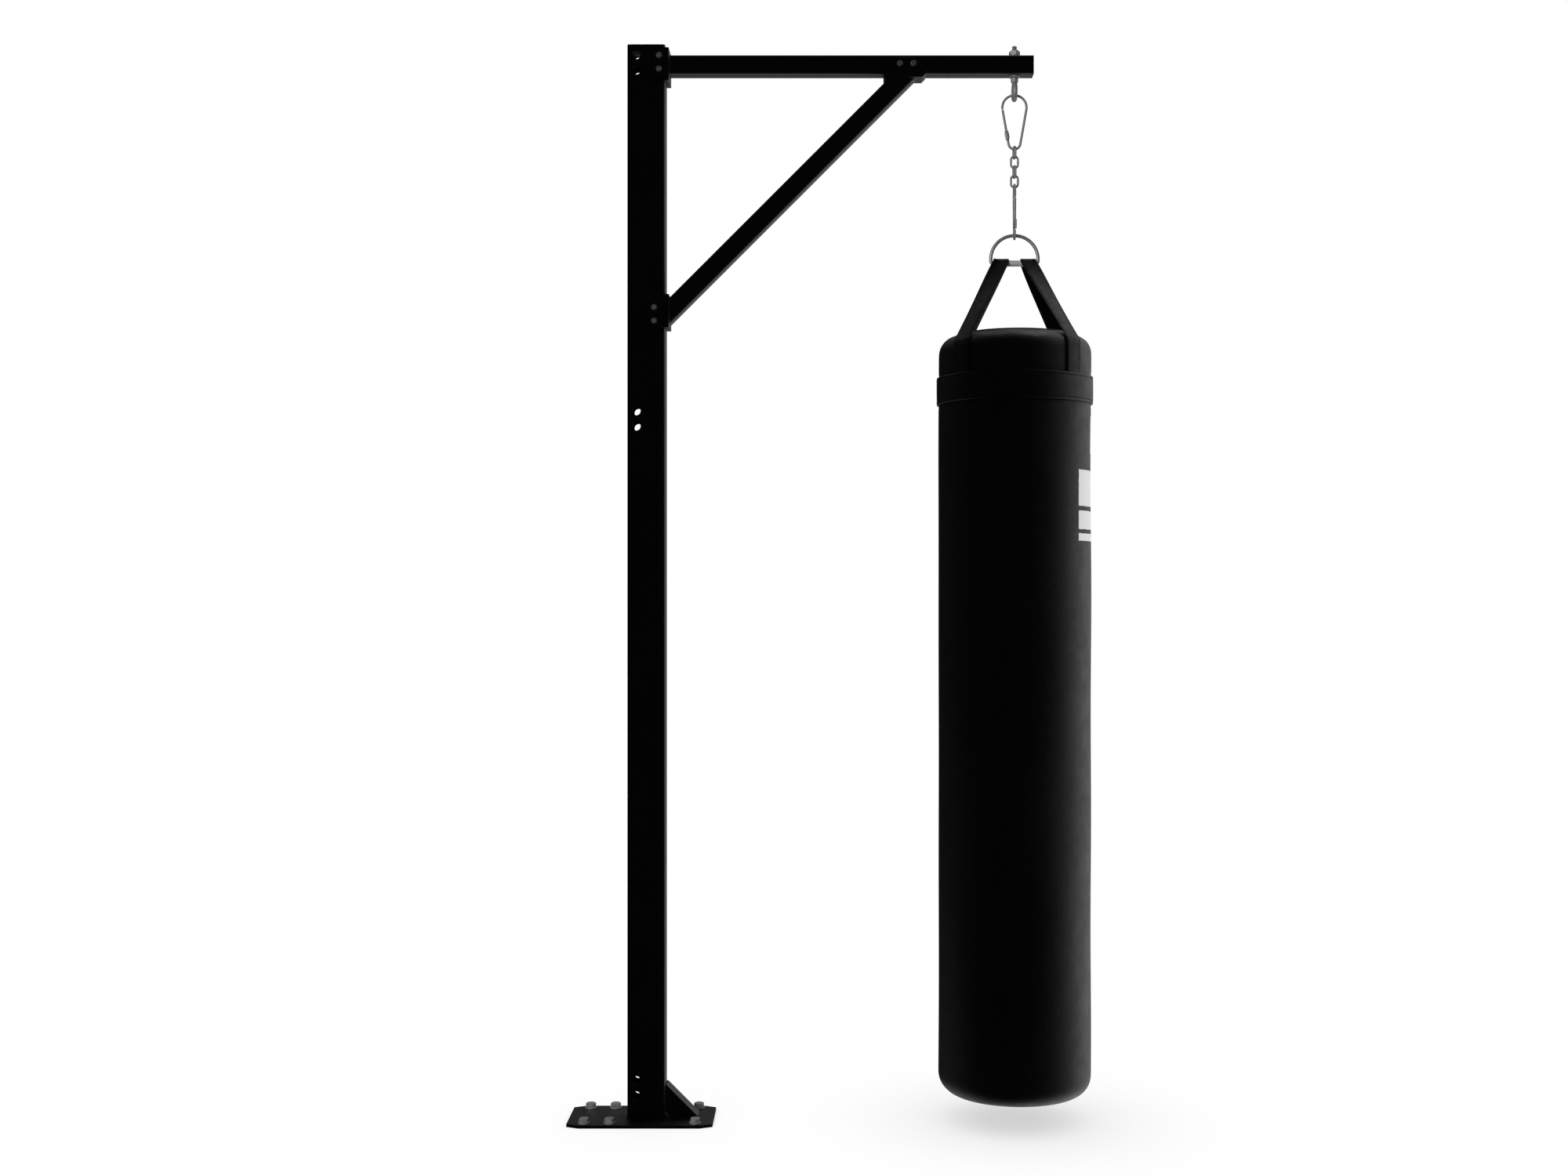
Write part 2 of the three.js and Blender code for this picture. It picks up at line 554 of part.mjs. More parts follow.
// The turn over the roller, from the front leg to the back leg.
function strapTurn(side) {
  const [from, to] = [-1, 1].map((front) => THREE.MathUtils.radToDeg(strapRun(side, front).lean));
  return arcPoints(0, BAR_HEIGHT, ROLLER_SEAT, 180 - from, to, 8).map((point) => ({
    centre: new THREE.Vector3(side * STRAP.ringX, point.x, point.z),
    across: new THREE.Vector3(1, 0, 0),
    width: STRAP.ringWidth,
    crown: 0,
  }));
}

function strapSolid(side) {
  const stations = [...strapLeg(side, -1), ...strapTurn(side), ...strapLeg(side, 1).reverse()];
  const last = stations.length - 1;
  const frames = stations.map((station, i) => {
    const ahead = stations[Math.min(i + 1, last)].centre;
    const behind = stations[Math.max(i - 1, 0)].centre;
    const along = ahead.clone().sub(behind).normalize();
    const outward = new THREE.Vector3().crossVectors(station.across, along).normalize();
    const across = new THREE.Vector3().crossVectors(along, outward);
    return { ...station, across, outward };
  });
  const strip = new THREE.BoxGeometry(1, 1, last, 4, 1, last).translate(0, 0, last / 2);
  const { position } = strip.attributes;
  for (let i = 0; i < position.count; i += 1) {
    const frame = frames[Math.round(position.getZ(i))];
    const sideways = -position.getX(i) * frame.width;
    const sag = (frame.crown * sideways * sideways) / (2 * BAG.radius);
    const out = position.getY(i) * STRAP.thickness - sag;
    const point = frame.centre.clone().addScaledVector(frame.across, sideways);
    point.addScaledVector(frame.outward, out);
    position.setXYZ(i, point.x, point.y, point.z);
  }
  return strip;
}

const straps = () => [['left', -1], ['right', 1]].map(([name, side]) =>
  place(`strap_${name}`, strapSolid(side), blackLeather, [HANG_X, 0, 0]));

// ---------- assembly ----------
const bagOnStand = new THREE.Group();
bagOnStand.add(basePlate(), ...anchors(), post(), baseGusset());
bagOnStand.add(place('post_cap', tubeCap(POST.width, POST.depth, POST.wall, POST.corner), blackPlastic,
  [0, 0, POST.top]));
bagOnStand.add(boom(), brace(), ...brackets(), ...bracketFasteners());
bagOnStand.add(eyeBolt(), ...eyeBoltSeats());
bagOnStand.add(carabiner('upper', UPPER_HOOK, 0), ...chainLinks());
bagOnStand.add(carabiner('lower', LOWER_HOOK, LOWER_TURN));
bagOnStand.add(dRing(), ringRoller(), ...bagParts(), belt(), ...straps());

export default bagOnStand;
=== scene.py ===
"""Looks of a heavy punching bag on a floor-bolted steel stand, built round its CAD frame, in metres."""
import math
import random

import bmesh
import bpy
from mathutils import Matrix, Vector


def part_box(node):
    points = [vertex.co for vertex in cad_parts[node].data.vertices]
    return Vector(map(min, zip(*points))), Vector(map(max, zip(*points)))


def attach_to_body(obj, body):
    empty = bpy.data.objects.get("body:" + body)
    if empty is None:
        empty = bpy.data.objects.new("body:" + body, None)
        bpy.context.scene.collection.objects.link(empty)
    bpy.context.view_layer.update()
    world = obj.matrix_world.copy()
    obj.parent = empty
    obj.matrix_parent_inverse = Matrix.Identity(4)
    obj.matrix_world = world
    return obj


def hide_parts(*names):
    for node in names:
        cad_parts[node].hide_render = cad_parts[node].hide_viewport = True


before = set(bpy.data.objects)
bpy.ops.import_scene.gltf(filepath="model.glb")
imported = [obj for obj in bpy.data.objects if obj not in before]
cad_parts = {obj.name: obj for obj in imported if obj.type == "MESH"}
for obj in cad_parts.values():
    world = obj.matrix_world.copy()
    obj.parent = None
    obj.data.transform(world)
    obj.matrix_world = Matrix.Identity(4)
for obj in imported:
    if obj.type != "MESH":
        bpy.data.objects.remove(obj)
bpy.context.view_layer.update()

MM = 0.001
TAU = 2 * math.pi
rng = random.Random(7)

# ---------- places and sizes taken from the frame ----------
EYE_LOW, EYE_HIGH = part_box("eye_bolt")
HANG_X = (EYE_LOW.x + EYE_HIGH.x) / 2
SHELL_LOW, SHELL_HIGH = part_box("bag_shell")
BAG_R = (SHELL_HIGH.x - SHELL_LOW.x) / 2
BAG_BOTTOM, BAG_TOP = SHELL_LOW.z, SHELL_HIGH.z
BELT_LOW, BELT_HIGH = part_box("bag_belt")
BELT_R = (BELT_HIGH.x - BELT_LOW.x) / 2
ROLLER_LOW, ROLLER_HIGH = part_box("ring_roller")
ROLLER_R = (ROLLER_HIGH.z - ROLLER_LOW.z) / 2
BAR_Z = (ROLLER_HIGH.z + ROLLER_LOW.z) / 2
PLATE_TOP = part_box("base_plate")[1].z
POST_LOW, POST_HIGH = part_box("post")

# ---------- shapes shared with the frame's design ----------
SHOULDER = 38 * MM                # radius of the bag's rounded ends
MOUTH_R = 112 * MM                # seam between the bag's shoulder and its lid
HOOK = {"wire": 2.5 * MM, "length": 109 * MM, "top": 24.5 * MM, "bottom": 12 * MM, "hinge": 17 * MM}
LINK = {"wire": 2 * MM, "half": 7 * MM}
D_WIRE = 3.5 * MM
D_CORNER = 5 * MM
STRAP = {"thick": 2.5 * MM, "width": 41 * MM, "ring_width": 31 * MM, "azimuth": 46, "ring_x": 27.2 * MM}
BAG_TURN = 2.4                    # degrees the hanging bag has turned about its axis
LOWER_TURN = math.radians(87.2)   # the lower hook hangs nearly edge-on
LINK_TURN = math.radians(102)     # every second link against its neighbours
ANCHOR = {"flats": 18 * MM, "shank": 6 * MM, "pitch": 1.75 * MM, "bore": 6.6 * MM, "washer": 12 * MM}
BUTTON = {"head": 4.4 * MM, "socket": 5 * MM, "socket_depth": 2.6 * MM, "shank": 4 * MM, "pitch": 1.25 * MM}
BRACKET_NUT = {"flats": 13 * MM, "bore": 4.2 * MM}
EYE = {"wire": 5 * MM, "collar": 7.5 * MM, "pitch": 1.5 * MM, "washer_bore": 5.4 * MM}
EYE_NUT = {"flats": 20 * MM, "height": 8.4 * MM, "bore": 5.3 * MM, "collar": 8.4 * MM}
CLOTH = {"frames": 20, "pressure": 4, "limit": 4 * MM}


# ---------- mesh helpers ----------
def make_object(name, verts, faces, material, sharp_degrees=40):
    mesh = bpy.data.meshes.new(name)
    mesh.from_pydata([tuple(v) for v in verts], [], faces)
    work = bmesh.new()
    work.from_mesh(mesh)
    bmesh.ops.remove_doubles(work, verts=work.verts, dist=1e-6)
    bmesh.ops.dissolve_degenerate(work, edges=work.edges, dist=1e-7)
    bmesh.ops.recalc_face_normals(work, faces=work.faces)
    work.to_mesh(mesh)
    work.free()
    for polygon in mesh.polygons:
        polygon.use_smooth = True
    mesh.set_sharp_from_angle(angle=math.radians(sharp_degrees))
    mesh.materials.append(material)
    piece = bpy.data.objects.new(name, mesh)
    bpy.context.scene.collection.objects.link(piece)
    return piece


def loft(rings, closed=False):
    """Vertices and faces of a skin over rings of equal length; open ends get a flat cap."""
    count = len(rings[0])
    verts = [p for ring in rings for p in ring]
    faces = []
    steps = len(rings) if closed else len(rings) - 1
    for i in range(steps):
        a = i * count
        b = ((i + 1) % len(rings)) * count
        for j in range(count):
            k = (j + 1) % count
            faces.append((a + j, a + k, b + k, b + j))
    if not closed:
        faces.append(tuple(range(count - 1, -1, -1)))
        faces.append(tuple(range(len(verts) - count, len(verts))))
    return verts, faces


def merged(parts):
    """Several (verts, faces) pairs as one."""
    verts, faces = [], []
    for part_verts, part_faces in parts:
        start = len(verts)
        verts += part_verts
        faces += [tuple(i + start for i in face) for face in part_faces]
    return verts, faces


def moved(part, matrix):
    verts, faces = part
    return [matrix @ Vector(v) for v in verts], faces


def revolve(rows, sides=48, closed=False):
    """Turned body about Z. A row is (radius, height), or a function of the angle that returns one."""
    rings = []
    for row in rows:
        ring = []
        for j in range(sides):
            angle = TAU * j / sides
            radius, height = row(angle) if callable(row) else row
            ring.append(Vector((radius * math.cos(angle), radius * math.sin(angle), height)))
        rings.append(ring)
    return loft(rings, closed)


def hex_radius(flats, angle):
    sector = (angle + math.pi / 6) % (math.pi / 3) - math.pi / 6
    return flats / 2 / math.cos(sector)


def arc(cx, cz, radius, start, end, steps):
    """Points of an arc in the x-z plane, angles in degrees."""
    points = []
    for i in range(steps + 1):
        angle = math.radians(start + (end - start) * i / steps)
        points.append(Vector((cx + radius * math.cos(angle), 0, cz + radius * math.sin(angle))))
    return points


def wire(path, radius, closed=False, sides=16, shape=None):
    """Round wire along a path in the x-z plane. shape(i) gives its scale across and out of the plane."""
    rings = []
    last = len(path) - 1
    for i, point in enumerate(path):
        ahead = path[(i + 1) % len(path)] if closed else path[min(i + 1, last)]
        behind = path[i - 1] if closed else path[max(i - 1, 0)]
        tangent = (ahead - behind).normalized()
        side = tangent.cross(Vector((0, 1, 0)))
        across, out = shape(i) if shape else (1, 1)
        ring = []
        for j in range(sides):
            angle = TAU * j / sides
            ring.append(point + side * (radius * across * math.cos(angle))
                        + Vector((0, radius * out * math.sin(angle), 0)))
        rings.append(ring)
    return loft(rings, closed)


def circle(radius, count):
    """Points of a closed circle about the origin in the x-z plane."""
    return [Vector((radius * math.cos(TAU * i / count), 0, radius * math.sin(TAU * i / count)))
            for i in range(count)]


def evenly(points, step, closed=False):
    """The same polyline with points about one step apart."""
    corners = points + [points[0]] if closed else points
    lengths = [0.0]
    for a, b in zip(corners, corners[1:]):
        lengths.append(lengths[-1] + (b - a).length)
    count = max(2, round(lengths[-1] / step))
    result = []
    segment = 0
    for i in range(count if closed else count + 1):
        goal = lengths[-1] * i / count
        while segment < len(lengths) - 2 and lengths[segment + 1] < goal:
            segment += 1
        span = lengths[segment + 1] - lengths[segment] or 1
        result.append(corners[segment].lerp(corners[segment + 1], (goal - lengths[segment]) / span))
    return result


# ---------- material helpers ----------
def new_material(name):
    material = bpy.data.materials.new(name)
    material.use_nodes = True
    return material, material.node_tree, material.node_tree.nodes["Principled BSDF"]


def node(tree, kind, inputs=None, **settings):
    made = tree.nodes.new(kind)
    for key, value in settings.items():
        setattr(made, key, value)
    for key, value in (inputs or {}).items():
        if isinstance(value, bpy.types.NodeSocket):
            tree.links.new(value, made.inputs[key])
        else:
            made.inputs[key].default_value = value
    return made


def noise(tree, coords, scale, detail=4.0, rough=0.55):
    made = node(tree, "ShaderNodeTexNoise", {"Vector": coords, "Scale": scale, "Detail": detail,
                                             "Roughness": rough})
    return made.outputs["Fac"]


def spread(tree, value, low, high, start=0.3, end=0.7):
    made = node(tree, "ShaderNodeMapRange", {"Value": value, "From Min": start, "From Max": end,
                                             "To Min": low, "To Max": high})
    return made.outputs["Result"]


def blend_colour(tree, factor, first, second):
    made = node(tree, "ShaderNodeMix", data_type="RGBA")
    for socket, value in ((made.inputs[0], factor), (made.inputs[6], first), (made.inputs[7], second)):
        if isinstance(value, bpy.types.NodeSocket):
            tree.links.new(value, socket)
        else:
            socket.default_value = value
    return made.outputs[2]


def bump(tree, height, strength, distance, normal=None):
    inputs = {"Height": height, "Strength": strength, "Distance": distance}
    if normal:
        inputs["Normal"] = normal
    return node(tree, "ShaderNodeBump", inputs).outputs["Normal"]


def maths(tree, operation, first, second=0.0):
    return node(tree, "ShaderNodeMath", {0: first, 1: second}, operation=operation).outputs[0]


def grey(value, tint=0.0):
    return (value - tint, value, value + tint, 1)


def object_coords(tree):
    return node(tree, "ShaderNodeTexCoord").outputs["Object"]


def finish_material(tree, shader, colour, roughness, normal):
    tree.links.new(colour, shader.inputs["Base Color"])
    tree.links.new(roughness, shader.inputs["Roughness"])
    tree.links.new(normal, shader.inputs["Normal"])


# ---------- materials ----------
def powder_coat():
    """Black satin powder coat: fine orange peel, faint dust, bare edges a little lighter."""
    material, tree, shader = new_material("powder_coat")
    coords = object_coords(tree)
    cloudy = noise(tree, coords, 9, 5)
    peel = noise(tree, coords, 1500, 2)
    wear = node(tree, "ShaderNodeNewGeometry").outputs["Pointiness"]
    colour = blend_colour(tree, spread(tree, cloudy, 0, 1), grey(0.006), grey(0.011, 0.0004))
    edges = spread(tree, wear, 0, 1, 0.53, 0.6)
    worn = maths(tree, "MULTIPLY", edges, spread(tree, noise(tree, coords, 60), 0, 1))
    colour = blend_colour(tree, worn, colour, grey(0.07))
    roughness = spread(tree, noise(tree, coords, 45), 0.36, 0.5)
    finish_material(tree, shader, colour, roughness, bump(tree, peel, 0.25, 0.0003))
    return material


def weld_metal():
    """Weld bead under the same paint, a bit glossier where it rippled."""
    material, tree, shader = new_material("painted_weld")
    coords = object_coords(tree)
    colour = blend_colour(tree, noise(tree, coords, 120), grey(0.008), grey(0.02))
    roughness = spread(tree, noise(tree, coords, 300), 0.3, 0.55)
    finish_material(tree, shader, colour, roughness, bump(tree, noise(tree, coords, 700), 0.4, 0.0004))
    return material


def plated_steel(name, value, low, high, metallic, tint=0.0):
    """Plated steel with cloudy patches, fine scratches and varied gloss."""
    material, tree, shader = new_material(name)
    shader.inputs["Metallic"].default_value = metallic
    coords = object_coords(tree)
    stretched = node(tree, "ShaderNodeMapping", {"Vector": coords, "Scale": (900, 900, 160)}).outputs[0]
    scratches = noise(tree, stretched, 3, 3)
    cloudy = noise(tree, coords, 130, 4)
    colour = blend_colour(tree, spread(tree, cloudy, 0, 1), grey(value * 0.8, tint), grey(value, tint))
    roughness = spread(tree, noise(tree, coords, 260), low, high)
    finish_material(tree, shader, colour, roughness, bump(tree, scratches, 0.15, 0.0002))
    return material


def cap_plastic():
    """Moulded black plastic with a fine spark texture."""
    material, tree, shader = new_material("cap_plastic")
    coords = object_coords(tree)
    colour = blend_colour(tree, noise(tree, coords, 20), grey(0.008), grey(0.014))
    roughness = spread(tree, noise(tree, coords, 90), 0.5, 0.68)
    finish_material(tree, shader, colour, roughness, bump(tree, noise(tree, coords, 2600, 1), 0.3, 0.0002))
    return material


def vinyl(name, printed_and_glowing=False):
    """Black artificial leather: pebble grain, soft creases, scuffed gloss; optionally the pale print, which
    is also made to glow as painted light.
    """
    material, tree, shader = new_material(name)
    coords = object_coords(tree)
    grain = node(tree, "ShaderNodeTexVoronoi", {"Vector": coords, "Scale": 520.0, "Randomness": 0.9},
                 feature="DISTANCE_TO_EDGE").outputs["Distance"]
    pebble = spread(tree, grain, 0, 1, 0.0, 0.28)
    creases = noise(tree, coords, 38, 6, 0.6)
    cloudy = noise(tree, coords, 5, 4)
    colour = blend_colour(tree, spread(tree, cloudy, 0, 1), grey(0.007), grey(0.012, 0.0003))
    roughness = spread(tree, noise(tree, coords, 30, 5), 0.37, 0.52)
    if printed_and_glowing:
        print_and_glow = print_mask(tree, coords)
        colour = blend_colour(tree, print_and_glow, colour, grey(0.8))
        # Painted light: the print also glows by its own emission, so it stays bright whatever the lamps do.
        shader.inputs["Emission Color"].default_value = grey(1)
        tree.links.new(maths(tree, "MULTIPLY", print_and_glow, 0.45), shader.inputs["Emission Strength"])
    normal = bump(tree, creases, 0.22, 0.002)
    finish_material(tree, shader, colour, roughness, bump(tree, pebble, 0.35, 0.00035, normal))
    shader.inputs["Coat Weight"].default_value = 0.08
    return material


# Plain generic bars on the bag's outer side: (lowest height, highest height, half width round the bag).
PRINT_BARS = ((1.237, 1.310, 0.108), (1.191, 1.229, 0.108), (1.168, 1.184, 0.108), (1.343, 1.420, 0.040))


def print_mask(tree, coords):
    split = node(tree, "ShaderNodeSeparateXYZ", {0: coords}).outputs
    angle = maths(tree, "ARCTAN2", split["Y"], maths(tree, "SUBTRACT", split["X"], HANG_X))
    across = maths(tree, "MULTIPLY", maths(tree, "ABSOLUTE", angle), BAG_R)
    worn = spread(tree, noise(tree, coords, 90, 6), 0.0, 0.0012)
    total = None
    for low, high, half in PRINT_BARS:
        above = maths(tree, "GREATER_THAN", split["Z"], maths(tree, "ADD", worn, low))
        below = maths(tree, "LESS_THAN", split["Z"], maths(tree, "SUBTRACT", high, worn))
        inside = maths(tree, "LESS_THAN", across, maths(tree, "SUBTRACT", half, worn))
        bar = maths(tree, "MULTIPLY", maths(tree, "MULTIPLY", above, below), inside)
        total = bar if total is None else maths(tree, "MAXIMUM", total, bar)
    return total


def webbing():
    """Strap: vinyl-faced webbing with a fine diagonal weave showing through."""
    material, tree, shader = new_material("strap_webbing")
    coords = object_coords(tree)
    weave = node(tree, "ShaderNodeTexWave", {"Vector": coords, "Scale": 260.0, "Distortion": 1.5,
                                             "Detail": 2.0}, bands_direction="DIAGONAL").outputs["Fac"]
    ribs = node(tree, "ShaderNodeTexWave", {"Vector": coords, "Scale": 190.0, "Distortion": 0.6},
                bands_direction="Z").outputs["Fac"]
    colour = blend_colour(tree, spread(tree, noise(tree, coords, 25), 0, 1), grey(0.008), grey(0.014))
    roughness = spread(tree, noise(tree, coords, 70), 0.45, 0.62)
    normal = bump(tree, ribs, 0.3, 0.0004)
    finish_material(tree, shader, colour, roughness, bump(tree, weave, 0.3, 0.0003, normal))
    return material


def thread():
    """Waxed black thread, twisted."""
    material, tree, shader = new_material("thread")
    coords = object_coords(tree)
    twist = node(tree, "ShaderNodeTexWave", {"Vector": coords, "Scale": 900.0},
                 bands_direction="DIAGONAL").outputs["Fac"]
    colour = blend_colour(tree, noise(tree, coords, 200), grey(0.014), grey(0.03))
    roughness = spread(tree, noise(tree, coords, 400), 0.5, 0.7)
    finish_material(tree, shader, colour, roughness, bump(tree, twist, 0.5, 0.0002))
    return material


PAINT = powder_coat()
WELD = weld_metal()
ZINC = plated_steel("zinc_plate", 0.34, 0.46, 0.6, 0.35, 0.004)
BRIGHT = plated_steel("bright_roller", 0.9, 0.3, 0.42, 0.4)
RING_STEEL = plated_steel("ring_steel", 0.34, 0.32, 0.46, 0.6)
OXIDE = plated_steel("black_oxide", 0.05, 0.46, 0.6, 0.4)
PLASTIC = cap_plastic()
VINYL = vinyl("bag_vinyl", printed_and_glowing=True)
BELT_VINYL = vinyl("belt_vinyl")
WEBBING = webbing()
THREAD = thread()


# ---------- CAD nodes that keep their shape ----------
def dress(name, material, bevel):
    """Better material, welded vertices and small rounded edges on a CAD node."""
    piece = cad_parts[name]
    piece.data.materials.clear()
    piece.data.materials.append(material)
    for polygon in piece.data.polygons:
        polygon.use_smooth = True
        polygon.material_index = 0
    weld = piece.modifiers.new("weld", "WELD")
    weld.merge_threshold = 1e-6
    rounding = piece.modifiers.new("edges", "BEVEL")
    rounding.width = bevel
    rounding.segments = 2
    rounding.limit_method = "ANGLE"
    rounding.angle_limit = math.radians(40)
    rounding.harden_normals = False
    normals = piece.modifiers.new("normals", "WEIGHTED_NORMAL")
    normals.keep_sharp = False


for steel_name in ("post", "boom", "brace"):
    dress(steel_name, PAINT, 0.4 * MM)
for steel_name in ("base_plate", "base_gusset", "boom_bracket", "brace_lower_bracket",
                   "brace_upper_bracket"):
    dress(steel_name, PAINT, 0.7 * MM)
for cap_name in ("post_cap", "boom_cap"):
    dress(cap_name, PLASTIC, 0.8 * MM)


def attach(piece, body, slot, *node_names):
    """Carry a piece on a body, in the place of the named CAD nodes if there are any."""
    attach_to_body(piece, body)
    if node_names:
        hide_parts(*node_names)


# ---------- weld beads ----------
def bead(name, path, normal, radius):
    """A rippled fillet weld along a straight or bent path, raised along normal."""
    points = evenly(path, 1.6 * MM)
    rings = []
    last = len(points) - 1
    for i, point in enumerate(points):
        tangent = (points[min(i + 1, last)] - points[max(i - 1, 0)]).normalized()
        side = tangent.cross(normal).normalized()
        lift = side.cross(tangent).normalized()
        ends = min(1.0, (i + 0.5) / 3, (last - i + 0.5) / 3)
        ripple = radius * ends * (0.9 + 0.13 * math.sin(i * 1.9) + rng.uniform(-0.04, 0.04))
        ring = []
        for j in range(10):
            angle = TAU * j / 10
            ring.append(point + side * (ripple * math.cos(angle)) + lift * (ripple * 0.8 * math.sin(angle)))
        rings.append(ring)
    attach(make_object(name, *loft(rings), WELD, 60), "stand", "black_powder_coat")


def front_and_back(low, high):
    return ("front", low.y, -1), ("back", high.y, 1)


def weld_beads():
    x_low, x_high = POST_LOW.x, POST_HIGH.x
    y_low, y_high = POST_LOW.y, POST_HIGH.y
    foot = PLATE_TOP + 0.6 * MM
    outline = ((x_low, y_low), (x_high, y_low), (x_high, y_high), (x_low, y_high), (x_low, y_low))
    bead("weld_post_foot", [Vector((x, y, foot)) for x, y in outline], Vector((0, 0, 1.01)), 3.0 * MM)
    low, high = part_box("base_gusset")
    for label, y, out in front_and_back(low, high):
        along_plate = [Vector((low.x + 14 * MM, y, foot)), Vector((high.x - 1 * MM, y, foot))]
        bead(f"weld_gusset_plate_{label}", along_plate, Vector((0, out, 1)).normalized(), 2.6 * MM)
        up_post = [Vector((low.x, y, low.z + 14 * MM)), Vector((low.x, y, high.z - 1 * MM))]
        bead(f"weld_gusset_post_{label}", up_post, Vector((1, out, 0)).normalized(), 2.6 * MM)
    for tube, bracket in (("boom", "boom_bracket"), ("brace", "brace_lower_bracket")):
        low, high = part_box(tube)
        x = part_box(bracket)[1].x + 0.3 * MM
        z_low = low.z + 3 * MM
        z_high = high.z - 3 * MM if tube == "boom" else z_low + 48 * MM
        for label, y, out in front_and_back(low, high):
            path = [Vector((x, y, z_low)), Vector((x, y, z_high))]
            bead(f"weld_{tube}_{label}", path, Vector((1, out, 0)).normalized(), 2.4 * MM)
    brace_low, brace_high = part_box("brace")
    heel_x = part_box("brace_upper_bracket")[0].x + 5 * MM
    for label, y, out in front_and_back(brace_low, brace_high):
        path = [Vector((brace_high.x - 50 * MM, y, brace_high.z + 0.3 * MM)),
                Vector((brace_high.x - 3 * MM, y, brace_high.z + 0.3 * MM))]
        bead(f"weld_brace_top_{label}", path, Vector((0, out, -1)).normalized(), 2.4 * MM)
    heel = [Vector((heel_x, -16 * MM, brace_high.z)), Vector((heel_x, 16 * MM, brace_high.z))]
    bead("weld_brace_top_heel", heel, Vector((-1, 0, -1)).normalized(), 4.5 * MM)


weld_beads()


# ---------- fasteners ----------
BARE_STEEL = bpy.data.collections.new("bare_steel")     # what the front light falls on


def stand_in(name, part, material, node_name, body, slot, sharp=40):
    """A finer piece shown in the place of one CAD node."""
    piece = make_object(name, *part, material, sharp)
    if slot in ("zinc_plate", "dark_fastener"):
        BARE_STEEL.objects.link(piece)
    attach(piece, body, slot, node_name)


def extra(name, part, material):
    """A piece on the bag that has no CAD node of its own."""
    attach(make_object(name, *part, material, 60), "bag", "black_vinyl")


def hex_head(flats, height):
    """Hexagon standing on z = 0 with turned-down corners."""
    rim = flats / 2 * 0.96

    def chamfer(angle):
        radius = hex_radius(flats, angle)
        return radius, height - 0.55 * (radius - rim)

    rows = [(0, 0), lambda a: (hex_radius(flats, a) - 0.3 * MM, 0),
            lambda a: (hex_radius(flats, a), 0.3 * MM), chamfer, (rim, height),
            (rim - 0.4 * MM, height + 0.05 * MM), (0, height + 0.05 * MM)]
    return revolve(rows, 60)


def hex_nut(flats, height, bore):
    rim = flats / 2 * 0.96

    def chamfer(top):
        def row(angle):
            radius = hex_radius(flats, angle)
            drop = 0.55 * (radius - rim)
            return radius, height - drop if top else drop
        return row

    rows = [(bore + 0.5 * MM, 0), (rim, 0), chamfer(False), chamfer(True), (rim, height),
            (bore + 0.5 * MM, height), (bore, height - 0.5 * MM), (bore, 0.5 * MM)]
    return revolve(rows, 60, closed=True)


def threaded(radius, low, high, pitch):
    """Screw thread as stacked ridges between two heights, closed at both ends."""
    rows = [(0, low), (radius - 0.6 * MM, low)]
    z = low + 0.4 * MM
    while z + pitch < high:
        rows += [(radius * 0.88, z), (radius, z + pitch * 0.5)]
        z += pitch
    rows += [(radius * 0.88, z), (radius - 1 * MM, high), (0, high)]
    return revolve(rows, 28)


def washer(inner, outer, thickness):
    soft = 0.35 * MM
    rows = [(inner, 0), (outer - soft, 0), (outer, soft), (outer, thickness - soft),
            (outer - soft, thickness), (inner, thickness)]
    return revolve(rows, 56, closed=True)


def anchors():
    for i in range(1, 7):
        low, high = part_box(f"anchor_bolt_{i}")
        centre = (low + high) / 2
        washer_low, washer_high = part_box(f"anchor_washer_{i}")
        turn = Matrix.Rotation(rng.uniform(0, TAU / 6), 4, "Z")
        seat = washer_high.z + 0.2 * MM
        spot = Matrix.Translation((centre.x, centre.y, seat)) @ turn
        head = moved(hex_head(ANCHOR["flats"], high.z - seat - 0.2 * MM), spot)
        stub = moved(threaded(ANCHOR["shank"], 0.2 * MM, seat, ANCHOR["pitch"]),
                     Matrix.Translation((centre.x, centre.y, 0)))
        stand_in(f"anchor_{i}", merged([head, stub]), ZINC, f"anchor_bolt_{i}", "stand", "zinc_plate")
        spot = Matrix.Translation((centre.x, centre.y, washer_low.z))
        ring = moved(washer(ANCHOR["bore"], ANCHOR["washer"], washer_high.z - washer_low.z), spot)
        stand_in(f"washer_{i}", ring, ZINC, f"anchor_washer_{i}", "stand", "zinc_plate")


